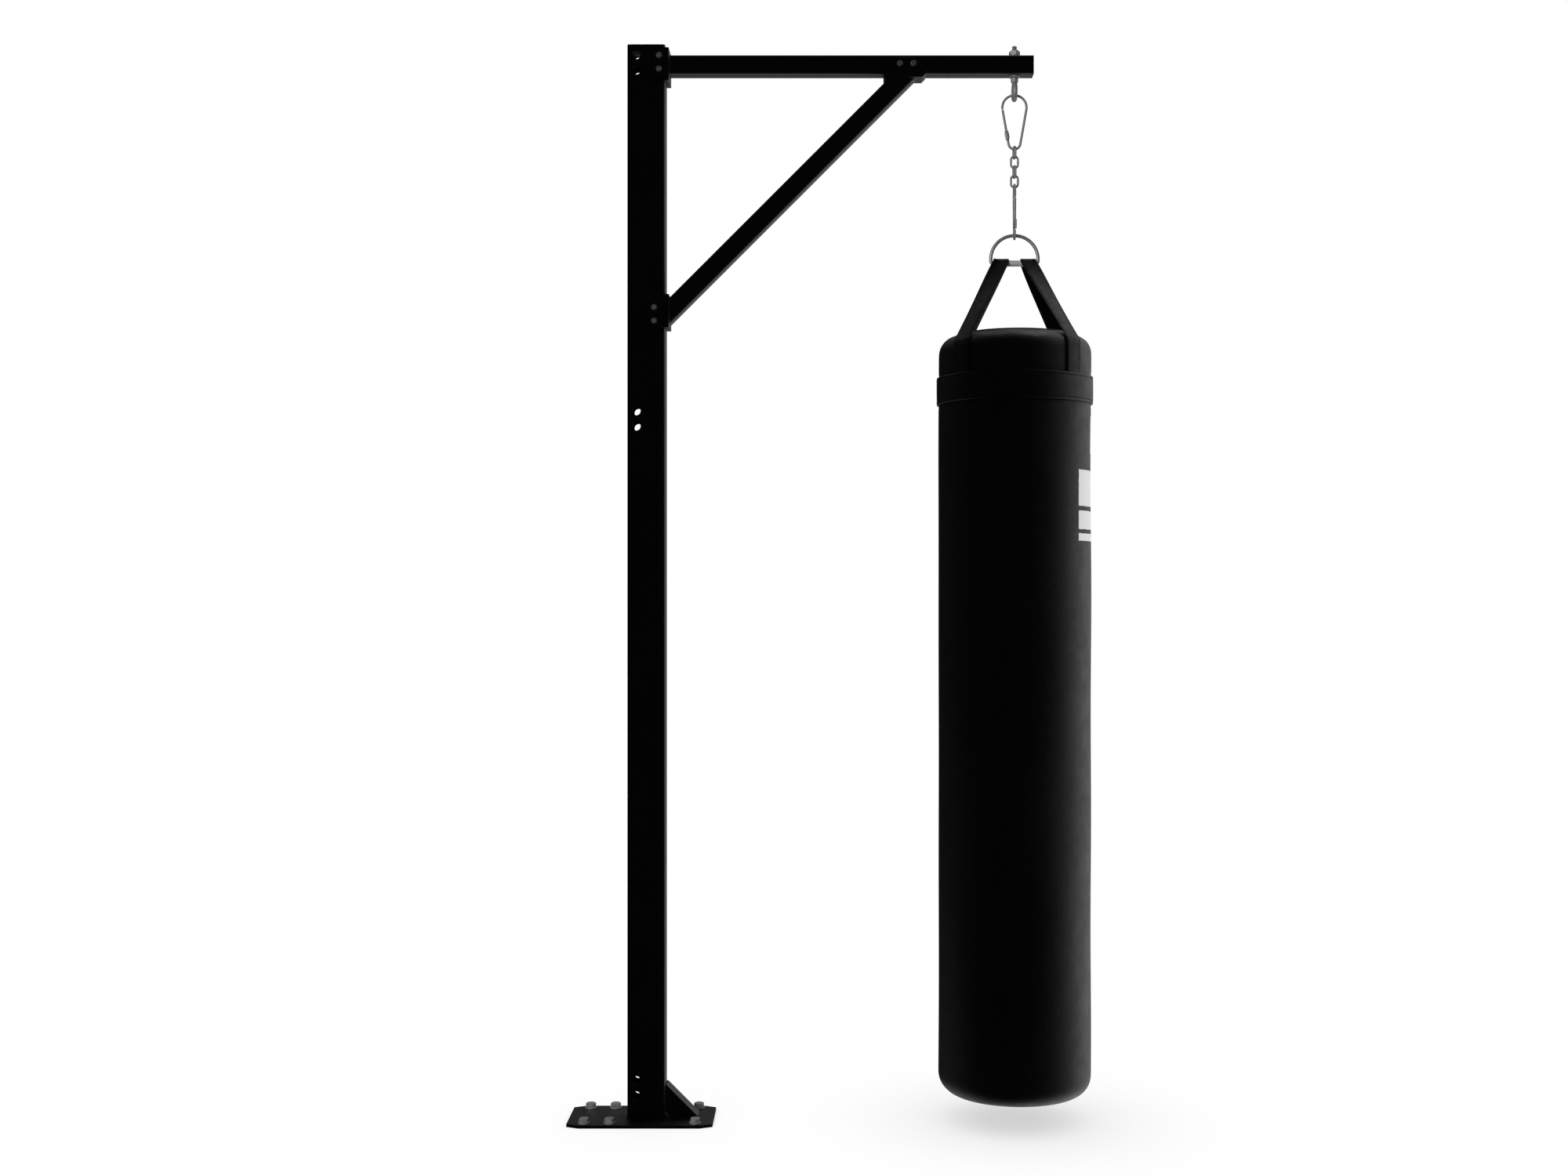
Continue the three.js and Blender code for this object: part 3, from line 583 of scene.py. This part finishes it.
def bracket_fasteners():
    for i in range(1, 7):
        low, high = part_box(f"bracket_bolt_{i}")
        nut_low, nut_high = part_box(f"bracket_nut_{i}")
        centre = (low + high) / 2
        head = BUTTON["head"]
        floor = head - BUTTON["socket_depth"]
        shank_r = BUTTON["shank"]
        seat = low.y + head
        radius = (high.x - low.x) / 2

        def socket(height):
            return lambda angle: (hex_radius(BUTTON["socket"], angle), height)

        rows = [(0, floor), socket(floor), socket(head - 0.2 * MM), (radius * 0.48, head),
                (radius * 0.62, head * 0.93), (radius * 0.8, head * 0.72), (radius * 0.93, head * 0.42),
                (radius, head * 0.15), (radius, 0), (shank_r, 0), (shank_r, -1 * MM), (0, -1 * MM)]
        towards_front = Matrix.Rotation(math.radians(90), 4, "X")
        towards_back = Matrix.Rotation(math.radians(-90), 4, "X")
        turn = Matrix.Rotation(rng.uniform(0, 1), 4, "Z")
        spot = Matrix.Translation((centre.x, seat, centre.z)) @ towards_front @ turn
        shank = threaded(shank_r, -(high.y - seat), -0.5 * MM, BUTTON["pitch"])
        bolt = merged([moved(revolve(rows, 60), spot), moved(shank, spot)])
        stand_in(f"button_bolt_{i}", bolt, OXIDE, f"bracket_bolt_{i}", "stand", "dark_fastener")
        turn = Matrix.Rotation(rng.uniform(0, 1), 4, "Z")
        spot = Matrix.Translation((centre.x, nut_low.y, centre.z)) @ towards_back @ turn
        nut = moved(hex_nut(BRACKET_NUT["flats"], nut_high.y - nut_low.y, BRACKET_NUT["bore"]), spot)
        stand_in(f"nut_{i}", nut, OXIDE, f"bracket_nut_{i}", "stand", "dark_fastener")


anchors()
bracket_fasteners()


# ---------- eye bolt ----------
def eye_bolt():
    wire_r = EYE["wire"]
    ring_r = (EYE_HIGH.y - EYE_LOW.y) / 2 - wire_r
    centre_z = EYE_LOW.z + wire_r + ring_r
    loop = moved(wire(circle(ring_r, 72), wire_r, closed=True, sides=24),
                 Matrix.Rotation(math.radians(90), 4, "Z"))
    washer_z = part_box("eye_washer_lower")[0].z - centre_z
    collar = EYE["collar"]
    neck = ring_r + 1.5 * MM
    rows = [(0, neck), (wire_r, neck), (collar - 1 * MM, neck + 2 * MM), (collar, neck + 4 * MM),
            (collar, washer_z - 1.2 * MM), (collar - 0.6 * MM, washer_z - 0.6 * MM),
            (0, washer_z - 0.6 * MM)]
    shank = threaded(wire_r, washer_z - 1 * MM, EYE_HIGH.z - centre_z, EYE["pitch"])
    place = Matrix.Translation((HANG_X, 0, centre_z))
    stand_in("eye", moved(merged([loop, revolve(rows, 40), shank]), place), ZINC, "eye_bolt", "stand",
             "zinc_plate")
    for name in ("eye_washer_lower", "eye_washer_upper"):
        low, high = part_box(name)
        flat = washer(EYE["washer_bore"], (high.x - low.x) / 2, high.z - low.z)
        ring = moved(flat, Matrix.Translation((HANG_X, 0, low.z)))
        stand_in(name + "_steel", ring, ZINC, name, "stand", "zinc_plate")
    low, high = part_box("eye_nut")
    bore, rim, tall = EYE_NUT["bore"], EYE_NUT["collar"], high.z - low.z
    rows = [(bore, 8 * MM), (rim, 8 * MM), (rim, tall - 0.6 * MM), (rim - 0.6 * MM, tall), (bore, tall)]
    nut = merged([hex_nut(EYE_NUT["flats"], EYE_NUT["height"], bore), revolve(rows, 40, closed=True)])
    place = Matrix.Translation((HANG_X, 0, low.z)) @ Matrix.Rotation(0.2, 4, "Z")
    stand_in("locking_nut", moved(nut, place), ZINC, "eye_nut", "stand", "zinc_plate")


# ---------- snap hooks ----------
def hook_outline():
    """The pear in the x-z plane, its top wire centred on the origin: nose, round the back, to the hinge."""
    top_z = -HOOK["top"]
    bottom_z = HOOK["bottom"] - HOOK["length"]
    lean = math.asin((HOOK["top"] - HOOK["bottom"]) / (top_z - bottom_z))
    degrees = math.degrees(lean)
    foot = arc(0, bottom_z, HOOK["bottom"], 180 + degrees, 180 + degrees, 1)[0]
    nose = arc(0, top_z, HOOK["top"], 180 + degrees, 180 + degrees, 1)[0]
    back = arc(0, top_z, HOOK["top"], 180 + degrees, -degrees, 40)
    back += arc(0, bottom_z, HOOK["bottom"], -degrees, -180 + degrees, 28)
    return back, foot, nose, lean


def snap_hook(prefix, turn):
    body = f"{prefix}_hook"
    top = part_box(f"{prefix}_carabiner")[1].z - HOOK["wire"]
    back, foot, nose, lean = hook_outline()
    leg = (nose - foot).length
    end = foot.lerp(nose, 22 * MM / leg)
    path = evenly(back + [end], 1.5 * MM)
    last = len(path) - 1
    lengths = [(point - path[last]).length for point in path]

    def shape(i):
        if i < 3:
            taper = (0.55, 0.85, 1.0)[i]
            return taper, taper
        away = lengths[i]
        flat = 0.46 if i > last / 2 and away < 15 * MM else 1.0
        if i == last:
            return 0.7, flat
        return 1.0, flat

    place = Matrix.Translation((HANG_X, 0, top)) @ Matrix.Rotation(turn, 4, "Z")
    hook = moved(wire(path, HOOK["wire"], sides=20, shape=shape), place)
    stand_in(f"{prefix}_snap_hook", hook, ZINC, f"{prefix}_carabiner", body, "zinc_plate")
    on_gate = place @ Matrix.Translation(foot) @ Matrix.Rotation(-lean, 4, "Y")
    tip = leg - 0.8 * MM
    stem_path = [Vector((0, 0, z)) for z in (22 * MM, 25 * MM, tip - 1.5 * MM, tip - 0.5 * MM, tip)]
    sizes = (1.0, 1.0, 1.0, 0.9, 0.6)
    stem = wire(stem_path, HOOK["wire"], sides=20, shape=lambda i: (sizes[i], sizes[i]))
    cheeks = []
    for side in (-1, 1):
        y = side * 2.65 * MM
        outline = arc(0, 12.5 * MM, 4 * MM, 180, 360, 10) + arc(0, 23 * MM, 4 * MM, 0, 180, 10)
        rings = []
        for depth, shrink in ((-1.15, 0.9), (-0.85, 1), (0.85, 1), (1.15, 0.9)):
            rings.append([Vector((p.x * shrink, y + depth * MM, 17.75 * MM + (p.z - 17.75 * MM) * (
                1 - (1 - shrink) * 0.4))) for p in outline])
        cheeks.append(loft(rings))
    bridge = wire([Vector((0, 0, z)) for z in (24.2 * MM, 27.5 * MM)], 3.6 * MM, sides=20)
    gate = moved(merged([stem, bridge] + cheeks), on_gate)
    stand_in(f"{prefix}_snap_gate", gate, ZINC, f"{prefix}_gate", f"{prefix}_hook_gate", "zinc_plate")
    rows = [(0, -4.4 * MM), (1.0 * MM, -4.3 * MM), (1.7 * MM, -3.8 * MM), (1.15 * MM, -3.8 * MM),
            (1.15 * MM, 3.8 * MM), (1.7 * MM, 3.8 * MM), (1.0 * MM, 4.3 * MM), (0, 4.4 * MM)]
    across = Matrix.Rotation(math.radians(90), 4, "X")
    rivet = moved(revolve(rows, 20), on_gate @ Matrix.Translation((0, 0, HOOK["hinge"])) @ across)
    stand_in(f"{prefix}_rivet", rivet, ZINC, f"{prefix}_gate_pin", body, "zinc_plate")


# ---------- chain and ring ----------
def chain():
    for i in range(1, 5):
        low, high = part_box(f"chain_link_{i}")
        top = high.z - LINK["wire"]
        reach = high.z - low.z - 2 * LINK["wire"]
        half = LINK["half"]
        outline = arc(0, -half, half, 0, 180, 24) + arc(0, half - reach, half, 180, 360, 24)
        path = evenly(outline, 1 * MM, closed=True)

        def shape(i, path=path):
            near_weld = path[i].x > 0.9 * half and abs(path[i].z + reach / 2) < 1.6 * MM
            return (1.12, 1.12) if near_weld else (1, 1)

        turn = LINK_TURN if i % 2 else 0.0
        place = Matrix.Translation((HANG_X, 0, top)) @ Matrix.Rotation(turn, 4, "Z")
        link = moved(wire(path, LINK["wire"] * 1.1, closed=True, sides=18, shape=shape), place)
        stand_in(f"link_{i}_steel", link, ZINC, f"chain_link_{i}", f"link_{i}", "zinc_plate")


def d_ring():
    low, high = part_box("d_ring")
    radius = (high.x - low.x) / 2 - D_WIRE
    top = high.z - D_WIRE
    reach = high.z - low.z - 2 * D_WIRE
    outline = arc(0, -radius, radius, 0, 180, 60)
    outline += arc(D_CORNER - radius, D_CORNER - reach, D_CORNER, 180, 270, 10)
    outline += arc(radius - D_CORNER, D_CORNER - reach, D_CORNER, 270, 360, 10)
    path = evenly(outline, 2 * MM, closed=True)
    ring = moved(wire(path, D_WIRE, closed=True, sides=24), Matrix.Translation((HANG_X, 0, top)))
    stand_in("bag_ring", ring, RING_STEEL, "d_ring", "ring", "zinc_plate")
    half = (ROLLER_HIGH.x - ROLLER_LOW.x) / 2
    inner = D_WIRE + 0.35 * MM
    soft = 0.8 * MM
    rows = [(inner, -half), (ROLLER_R - soft, -half), (ROLLER_R, soft - half), (ROLLER_R, half - soft),
            (ROLLER_R - soft, half), (inner, half)]
    place = Matrix.Translation((HANG_X, 0, BAR_Z)) @ Matrix.Rotation(math.radians(90), 4, "Y")
    sleeve = moved(revolve(rows, 48, closed=True), place)
    stand_in("roller_sleeve", sleeve, BRIGHT, "ring_roller", "roller", "zinc_plate")


eye_bolt()
snap_hook("upper", 0.0)
snap_hook("lower", LOWER_TURN)
chain()
d_ring()


# ---------- bag ----------
def stitch_row(points, outwards, length=4.2 * MM, radius=0.55 * MM):
    """One short thread capsule at every point; outwards(p) is the surface's direction there."""
    parts = []
    for a, b in zip(points, points[1:]):
        along = (b - a).normalized()
        up = outwards(a)
        across = along.cross(up).normalized()
        rings = []
        for t, size in ((-0.5, 0.3), (-0.42, 0.85), (-0.15, 1), (0.15, 1), (0.42, 0.85), (0.5, 0.3)):
            centre = a + along * (length * t) + up * (radius * (0.55 if abs(t) < 0.45 else -0.2))
            ring = [centre + across * (radius * size * math.cos(TAU * j / 6))
                    + up * (radius * size * math.sin(TAU * j / 6)) for j in range(6)]
            rings.append(ring)
        parts.append(loft(rings))
    return merged(parts)


def bag_profile():
    """Outline of the bag from the bottom's centre to the lid seam: (radius, height)."""
    rows = []
    for i in range(8):
        rows.append((0.001 + (BAG_R - SHOULDER - 0.001) * i / 8, BAG_BOTTOM))
    for point in arc(BAG_R - SHOULDER, BAG_BOTTOM + SHOULDER, SHOULDER, -90, 0, 8):
        rows.append((point.x, point.z))
    side_low = BAG_BOTTOM + SHOULDER
    side_high = BAG_TOP - SHOULDER
    side_rows = 150
    for i in range(1, side_rows):
        rows.append((BAG_R, side_low + (side_high - side_low) * i / side_rows))
    for point in arc(BAG_R - SHOULDER, BAG_TOP - SHOULDER, SHOULDER, 0, 90, 8):
        rows.append((point.x, point.z))
    for i in range(1, 9):
        rows.append(((BAG_R - SHOULDER) * (1 - i / 8) + 0.001 * i / 8, BAG_TOP))
    return rows


LUMPS = [(rng.randint(1, 5), rng.uniform(2, 14), rng.uniform(0, TAU), rng.uniform(0, TAU))
         for _ in range(14)]


def filling_lumps(angle, height):
    """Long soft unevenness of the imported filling, in metres."""
    total = 0.0
    for waves, per_metre, phase, lift in LUMPS:
        total += math.sin(waves * angle + phase) * math.sin(per_metre * height + lift)
    return total * 0.28 * MM


def relax_cloth(piece):
    """Short pressure run: the cover settles on its filling, cinched where the belt holds it."""
    pinned = piece.vertex_groups.new(name="held")
    for vertex in piece.data.vertices:
        under_belt = BELT_LOW.z + 2 * MM < vertex.co.z < BELT_HIGH.z - 2 * MM
        ends = vertex.co.z < BAG_BOTTOM + 1 * MM or vertex.co.z > BAG_TOP - 1 * MM
        if under_belt or ends:
            pinned.add([vertex.index], 1.0, "REPLACE")
    cloth = piece.modifiers.new("cloth", "CLOTH")
    cloth.settings.quality = 4
    cloth.settings.mass = 0.6
    cloth.settings.tension_stiffness = 40
    cloth.settings.compression_stiffness = 40
    cloth.settings.shear_stiffness = 20
    cloth.settings.bending_stiffness = 3
    cloth.settings.use_pressure = True
    cloth.settings.uniform_pressure_force = CLOTH["pressure"]
    cloth.settings.vertex_group_mass = "held"
    cloth.settings.shrink_min = -0.004
    cloth.settings.effector_weights.gravity = 0
    cloth.collision_settings.use_collision = False
    cloth.collision_settings.use_self_collision = False
    rest = [vertex.co.copy() for vertex in piece.data.vertices]
    cloth.point_cache.frame_start = 1
    cloth.point_cache.frame_end = CLOTH["frames"]
    scene = bpy.context.scene
    for step in range(1, CLOTH["frames"] + 1):
        scene.frame_set(step)
    graph = bpy.context.evaluated_depsgraph_get()
    settled = piece.evaluated_get(graph).data
    places = []
    for vertex, start in zip(settled.vertices, rest):
        shift = vertex.co - start
        if shift.length > CLOTH["limit"]:
            shift = shift.normalized() * CLOTH["limit"]
        places.append(start + shift)
    piece.modifiers.remove(cloth)
    for vertex, place in zip(piece.data.vertices, places):
        vertex.co = place
    scene.frame_set(1)


def bag_cover():
    sides = 96
    rings = []
    for radius, height in bag_profile():
        ring = []
        for j in range(sides):
            angle = TAU * j / sides
            ripple = filling_lumps(angle, height) if radius > BAG_R * 0.9 else 0
            cinch = -1.2 * MM if BELT_LOW.z < height < BELT_HIGH.z else 0
            here = radius + ripple + cinch
            ring.append(Vector((HANG_X + here * math.cos(angle), here * math.sin(angle), height)))
        rings.append(ring)
    cover = make_object("bag_cover", *loft(rings), VINYL, 60)
    relax_cloth(cover)
    smooth = cover.modifiers.new("smooth", "SUBSURF")
    smooth.levels = 1
    smooth.render_levels = 1
    attach(cover, "bag", "black_vinyl", "bag_shell", "bag_filling")


def lid():
    """Top panel sewn in with a round piping."""
    top = BAG_TOP
    rows = [(0, top - 3 * MM), (MOUTH_R - 1 * MM, top - 3 * MM), (MOUTH_R, top - 1 * MM),
            (MOUTH_R - 1 * MM, top), (MOUTH_R * 0.85, top + 0.5 * MM), (MOUTH_R * 0.5, top + 1.4 * MM),
            (0, top + 1.8 * MM)]
    panel = moved(revolve(rows, 72), Matrix.Translation((HANG_X, 0, 0)))
    stand_in("bag_lid_panel", panel, BELT_VINYL, "bag_lid", "bag", "black_vinyl", 60)
    flat = Matrix.Rotation(math.radians(90), 4, "X")
    piping = moved(wire(circle(MOUTH_R, 120), 2.4 * MM, closed=True, sides=12),
                   Matrix.Translation((HANG_X, 0, top + 0.6 * MM)) @ flat)
    extra("bag_piping", piping, BELT_VINYL)
    radius = MOUTH_R - 6 * MM
    row = [Vector((HANG_X + radius * math.cos(TAU * i / 110), radius * math.sin(TAU * i / 110),
                   top + 0.5 * MM)) for i in range(111)]
    extra("lid_stitches", stitch_row(row, lambda p: Vector((0, 0, 1))), THREAD)


def outward(point):
    return Vector((point.x - HANG_X, point.y, 0)).normalized()


def side_seam():
    """Lapped seam up the back of the bag with two rows of stitches."""
    low, high = BAG_BOTTOM + SHOULDER, BELT_LOW.z - 1 * MM
    seam_r = BAG_R + 0.4 * MM
    section = ((-10, -1.4), (-9.6, 0.6), (-5, 0.9), (0, 1.0), (5, 0.9), (9.6, 0.6), (10, -1.4), (0, -1.8))
    rings = []
    for i in range(121):
        z = low + (high - low) * i / 120
        ring = []
        for u, lift in section:
            angle = math.pi / 2 + u * MM / seam_r
            here = seam_r + lift * MM + filling_lumps(math.pi / 2, z)
            ring.append(Vector((HANG_X + here * math.cos(angle), here * math.sin(angle), z)))
        rings.append(ring)
    extra("side_seam", loft(rings), BELT_VINYL)
    parts = []
    for u in (-7, 7):
        angle = math.pi / 2 + u * MM / seam_r
        count = int((high - low) / (7 * MM))
        row = []
        for i in range(count + 1):
            z = low + (high - low) * i / count
            here = seam_r + 0.9 * MM + filling_lumps(math.pi / 2, z)
            row.append(Vector((HANG_X + here * math.cos(angle), here * math.sin(angle), z)))
        parts.append(stitch_row(row, outward))
    extra("side_seam_stitches", merged(parts), THREAD)


def belt():
    """Sewn belt round the shoulder: slightly padded, with folded edges and two rows of stitches."""
    low, high = BELT_LOW.z, BELT_HIGH.z
    inner = BAG_R - 1.2 * MM
    outer = BELT_R
    outline = [(inner, low + 0.6 * MM), (outer - 1.6 * MM, low), (outer - 0.5 * MM, low + 0.9 * MM),
               (outer - 0.2 * MM, low + 3 * MM), (outer - 0.9 * MM, low + 5.2 * MM),
               (outer - 0.9 * MM, low + 6 * MM), (outer - 0.15 * MM, low + 9 * MM),
               (outer, (low + high) / 2), (outer - 0.15 * MM, high - 9 * MM),
               (outer - 0.9 * MM, high - 6 * MM), (outer - 0.9 * MM, high - 5.2 * MM),
               (outer - 0.2 * MM, high - 3 * MM), (outer - 0.5 * MM, high - 0.9 * MM),
               (outer - 1.6 * MM, high), (inner, high - 0.6 * MM)]

    def waved(radius, height):
        def row(angle):
            wave = 0.25 * MM * math.sin(5 * angle + 40 * height) + 0.2 * MM * math.sin(11 * angle + 1.3)
            return radius + wave * (radius > inner), height + 0.5 * MM * math.sin(3 * angle + 0.8)
        return row

    band = moved(revolve([waved(r, z) for r, z in outline], 144, closed=True),
                 Matrix.Translation((HANG_X, 0, 0)))
    stand_in("belt_band", band, BELT_VINYL, "bag_belt", "bag", "black_vinyl", 50)
    parts = []
    for z in (low + 5.6 * MM, high - 5.6 * MM):
        radius = outer - 0.75 * MM
        count = 150
        row = [Vector((HANG_X + radius * math.cos(TAU * i / count), radius * math.sin(TAU * i / count),
                       z + 0.5 * MM * math.sin(3 * TAU * i / count + 0.8))) for i in range(count + 1)]
        parts.append(stitch_row(row, outward, 4.4 * MM))
    extra("belt_stitches", merged(parts), THREAD)


# ---------- straps ----------
SPRINGING = BAG_TOP - SHOULDER                              # where the bag's side starts to curve in
STRAP_BEND = SHOULDER + 0.3 * MM + STRAP["thick"] / 2
ON_ROLLER = ROLLER_R + 0.5 * MM + STRAP["thick"] / 2


def strap_run(side, front):
    """Where one strap leg stands on the bag, and its lean over the shoulder on its way to the roller."""
    azimuth = math.radians(STRAP["azimuth"] + side * front * BAG_TURN)
    seat = BAG_R + 0.3 * MM + STRAP["thick"] / 2
    foot = Vector((side * seat * math.sin(azimuth), front * seat * math.cos(azimuth), 0))
    lean = 0.5
    for _ in range(30):
        inward = abs(foot.y) - STRAP_BEND * (1 - math.cos(lean)) - ON_ROLLER * math.cos(lean)
        upward = BAR_Z + ON_ROLLER * math.sin(lean) - SPRINGING - STRAP_BEND * math.sin(lean)
        lean = math.atan2(inward, upward)
    return foot, lean


def strap_leg(side, front):
    """Centre, sideways direction, width and crown of the band from under the belt to the roller."""
    foot, lean = strap_run(side, front)
    on_bag = Vector((abs(foot.y), -side * front * abs(foot.x), 0)).normalized()
    stations = []

    def add(centre, twist):
        across = on_bag.lerp(Vector((1, 0, 0)), twist).normalized()
        width = STRAP["width"] + (STRAP["ring_width"] - STRAP["width"]) * twist
        stations.append((centre + Vector((HANG_X, 0, 0)), across, width, 1 - twist))

    under_belt = BELT_HIGH.z - 12 * MM
    for i in range(8):
        add(Vector((foot.x, foot.y, under_belt + (SPRINGING - under_belt) * i / 8)), 0)
    for i in range(13):
        angle = lean * i / 12
        leave = Vector((foot.x, foot.y - front * STRAP_BEND * (1 - math.cos(angle)),
                        SPRINGING + STRAP_BEND * math.sin(angle)))
        add(leave, 0)
    goal = Vector((side * STRAP["ring_x"], front * ON_ROLLER * math.cos(lean),
                   BAR_Z + ON_ROLLER * math.sin(lean)))
    for i in range(1, 40):
        along = i / 40.5
        add(leave.lerp(goal, along), along ** 2.5)
    return stations


def strap_stations(side):
    """The whole strap: front leg, turn over the roller, back leg."""
    start, end = (math.degrees(strap_run(side, front)[1]) for front in (-1, 1))
    turn = [(Vector((HANG_X + side * STRAP["ring_x"], point.x, point.z)), Vector((1, 0, 0)),
             STRAP["ring_width"], 0) for point in arc(0, BAR_Z, ON_ROLLER, 180 - start, end, 18)]
    return strap_leg(side, -1) + turn + strap_leg(side, 1)[::-1]


def strap(name, side):
    stations = strap_stations(side)
    last = len(stations) - 1
    section = [(-0.5, -0.25), (-0.47, -0.5), (-0.25, -0.5), (0, -0.5), (0.25, -0.5), (0.47, -0.5),
               (0.5, -0.25), (0.5, 0.25), (0.47, 0.5), (0.36, 0.46), (0.18, 0.5), (0, 0.5), (-0.18, 0.5),
               (-0.36, 0.46), (-0.47, 0.5), (-0.5, 0.25)]
    rings = []
    rows = {-1: [], 1: []}
    for i, (centre, across, width, crown) in enumerate(stations):
        along = (stations[min(i + 1, last)][0] - stations[max(i - 1, 0)][0]).normalized()
        out = across.cross(along).normalized()
        across = along.cross(out).normalized()
        ring = []
        for u, v in section:
            sideways = u * width
            sag = crown * sideways * sideways / (2 * BAG_R)
            ring.append(centre + across * sideways + out * (v * STRAP["thick"] - sag))
        rings.append(ring)
        for edge in (-1, 1):
            sideways = edge * (width / 2 - 4.5 * MM)
            sag = crown * sideways * sideways / (2 * BAG_R)
            rows[edge].append((centre + across * sideways + out * (STRAP["thick"] * 0.48 - sag), out))
    attach(make_object(f"{name}_webbing", *loft(rings), WEBBING, 50), "bag", "black_vinyl", name)
    parts = []
    for edge in (-1, 1):
        path = [place for place, _ in rows[edge]]
        spots = evenly(path, 6.5 * MM)

        def direction(point, edge=edge):
            return min(rows[edge], key=lambda row: (row[0] - point).length)[1]

        parts.append(stitch_row(spots, direction, 3.9 * MM, 0.5 * MM))
    extra(f"{name}_stitches", merged(parts), THREAD)


bag_cover()
lid()
side_seam()
belt()
strap("strap_left", -1)
strap("strap_right", 1)


# ---------- floor, light and camera ----------
# How bright the dark room looks from the object by compass direction, in degrees clockwise from straight
# behind it: only the right side holds a large soft wall of light.
ROOM = ((-180, 0.02), (-60, 0.02), (-20, 0.006), (-4, 0.05), (4, 0.14), (12, 0.3), (30, 0.44), (52, 0.86),
        (74, 0.84), (92, 0.36), (108, 0.1), (130, 0.02), (180, 0.02))


FLOOR_SIZE = 120
FLOOR_LIFT = 0.65
SKY_LIFT = 0.3


def room_light(tree, direction, lift):
    """Brightness by a ray's direction; lift is the glow behind the object, high above or far below."""
    split = node(tree, "ShaderNodeSeparateXYZ", {0: direction}).outputs
    compass = maths(tree, "ARCTAN2", split["X"], split["Y"])
    ramp = node(tree, "ShaderNodeValToRGB", {0: spread(tree, compass, 0, 1, -math.pi, math.pi)})
    stops = ramp.color_ramp.elements
    while len(stops) < len(ROOM):
        stops.new(0.5)
    for stop, (degrees, value) in zip(stops, ROOM):
        stop.position = (degrees + 180) / 360
        stop.color = grey(value)
    steep = spread(tree, maths(tree, "ABSOLUTE", split["Z"]), 0, lift, 0.3, 0.7)
    glow = maths(tree, "MULTIPLY", steep, spread(tree, split["Y"], 0, 1, 0, 0.5))
    both = node(tree, "ShaderNodeVectorMath", {0: ramp.outputs["Color"], 1: glow}, operation="ADD")
    return both.outputs[0]


def studio():
    """Seamless pale floor and backdrop, with a painted contact shadow from ambient occlusion where the
    camera sees the floor; the room is dark where it would mirror in the black paint.
    """
    material = bpy.data.materials.new("studio_floor")
    material.use_nodes = True
    tree = material.node_tree
    tree.nodes.clear()
    # Painted shadow: the floor the camera sees is an even glow, darkened by ambient occlusion near the
    # stand and the bag.
    occlusion = node(tree, "ShaderNodeAmbientOcclusion", {"Distance": 0.35}, samples=12).outputs["AO"]
    pale = spread(tree, occlusion, 0.55, 1.0, 0.0, 0.95)
    incoming = node(tree, "ShaderNodeNewGeometry").outputs["Incoming"]
    away = node(tree, "ShaderNodeVectorMath", {0: incoming, 1: (-1, -1, -1)},
                operation="MULTIPLY").outputs[0]
    seen = node(tree, "ShaderNodeLightPath").outputs["Is Camera Ray"]
    glow = blend_colour(tree, seen, room_light(tree, away, FLOOR_LIFT), pale)
    shine = node(tree, "ShaderNodeEmission", {"Color": glow}).outputs[0]
    target = tree.nodes.new("ShaderNodeOutputMaterial")
    tree.links.new(shine, target.inputs["Surface"])
    floor = bpy.data.meshes.new("floor")
    far = FLOOR_SIZE / 2
    floor.from_pydata([(-far, -far, 0), (far, -far, 0), (far, far, 0), (-far, far, 0)], [], [(0, 1, 2, 3)])
    floor.materials.append(material)
    ground = bpy.data.objects.new("floor", floor)
    bpy.context.scene.collection.objects.link(ground)
    world = bpy.data.worlds.new("studio")
    bpy.context.scene.world = world
    world.use_nodes = True
    nodes = world.node_tree
    background = nodes.nodes["Background"]
    seen = node(nodes, "ShaderNodeLightPath").outputs["Is Camera Ray"]
    direction = node(nodes, "ShaderNodeTexCoord").outputs["Generated"]
    shade = blend_colour(nodes, seen, room_light(nodes, direction, SKY_LIFT), (1, 1, 1, 1))
    nodes.links.new(shade, background.inputs["Color"])


def soft_light(name, place, target, width, height, power):
    light = bpy.data.lights.new(name, "AREA")
    light.shape = "RECTANGLE"
    light.size = width
    light.size_y = height
    light.energy = power
    lamp = bpy.data.objects.new(name, light)
    lamp.location = place
    lamp.rotation_euler = (Vector(target) - Vector(place)).to_track_quat("-Z", "Y").to_euler()
    lamp.visible_camera = False
    bpy.context.scene.collection.objects.link(lamp)
    return lamp


def camera():
    """Level camera with its lens shifted, in front of the object."""
    data = bpy.data.cameras.new("camera")
    data.sensor_width = 36
    data.lens = 41.922
    data.shift_x = -0.02935
    data.shift_y = -0.00095
    eye = bpy.data.objects.new("camera", data)
    eye.location = (0.3703, -3.7, 1.078)
    eye.rotation_euler = (math.radians(90), 0, 0)
    bpy.context.scene.collection.objects.link(eye)
    bpy.context.scene.camera = eye


studio()
soft_light("overhead", (0.9, 1.2, 4.2), (0.75, 0.0, 1.6), 2.4, 1.6, 4)
glint = soft_light("steel_front", (-1.6, -3.2, 2.2), (0.6, 0, 1.5), 3.2, 3.2, 110)
glint.light_linking.receiver_collection = BARE_STEEL
camera()
bpy.context.scene.view_settings.view_transform = "Standard"
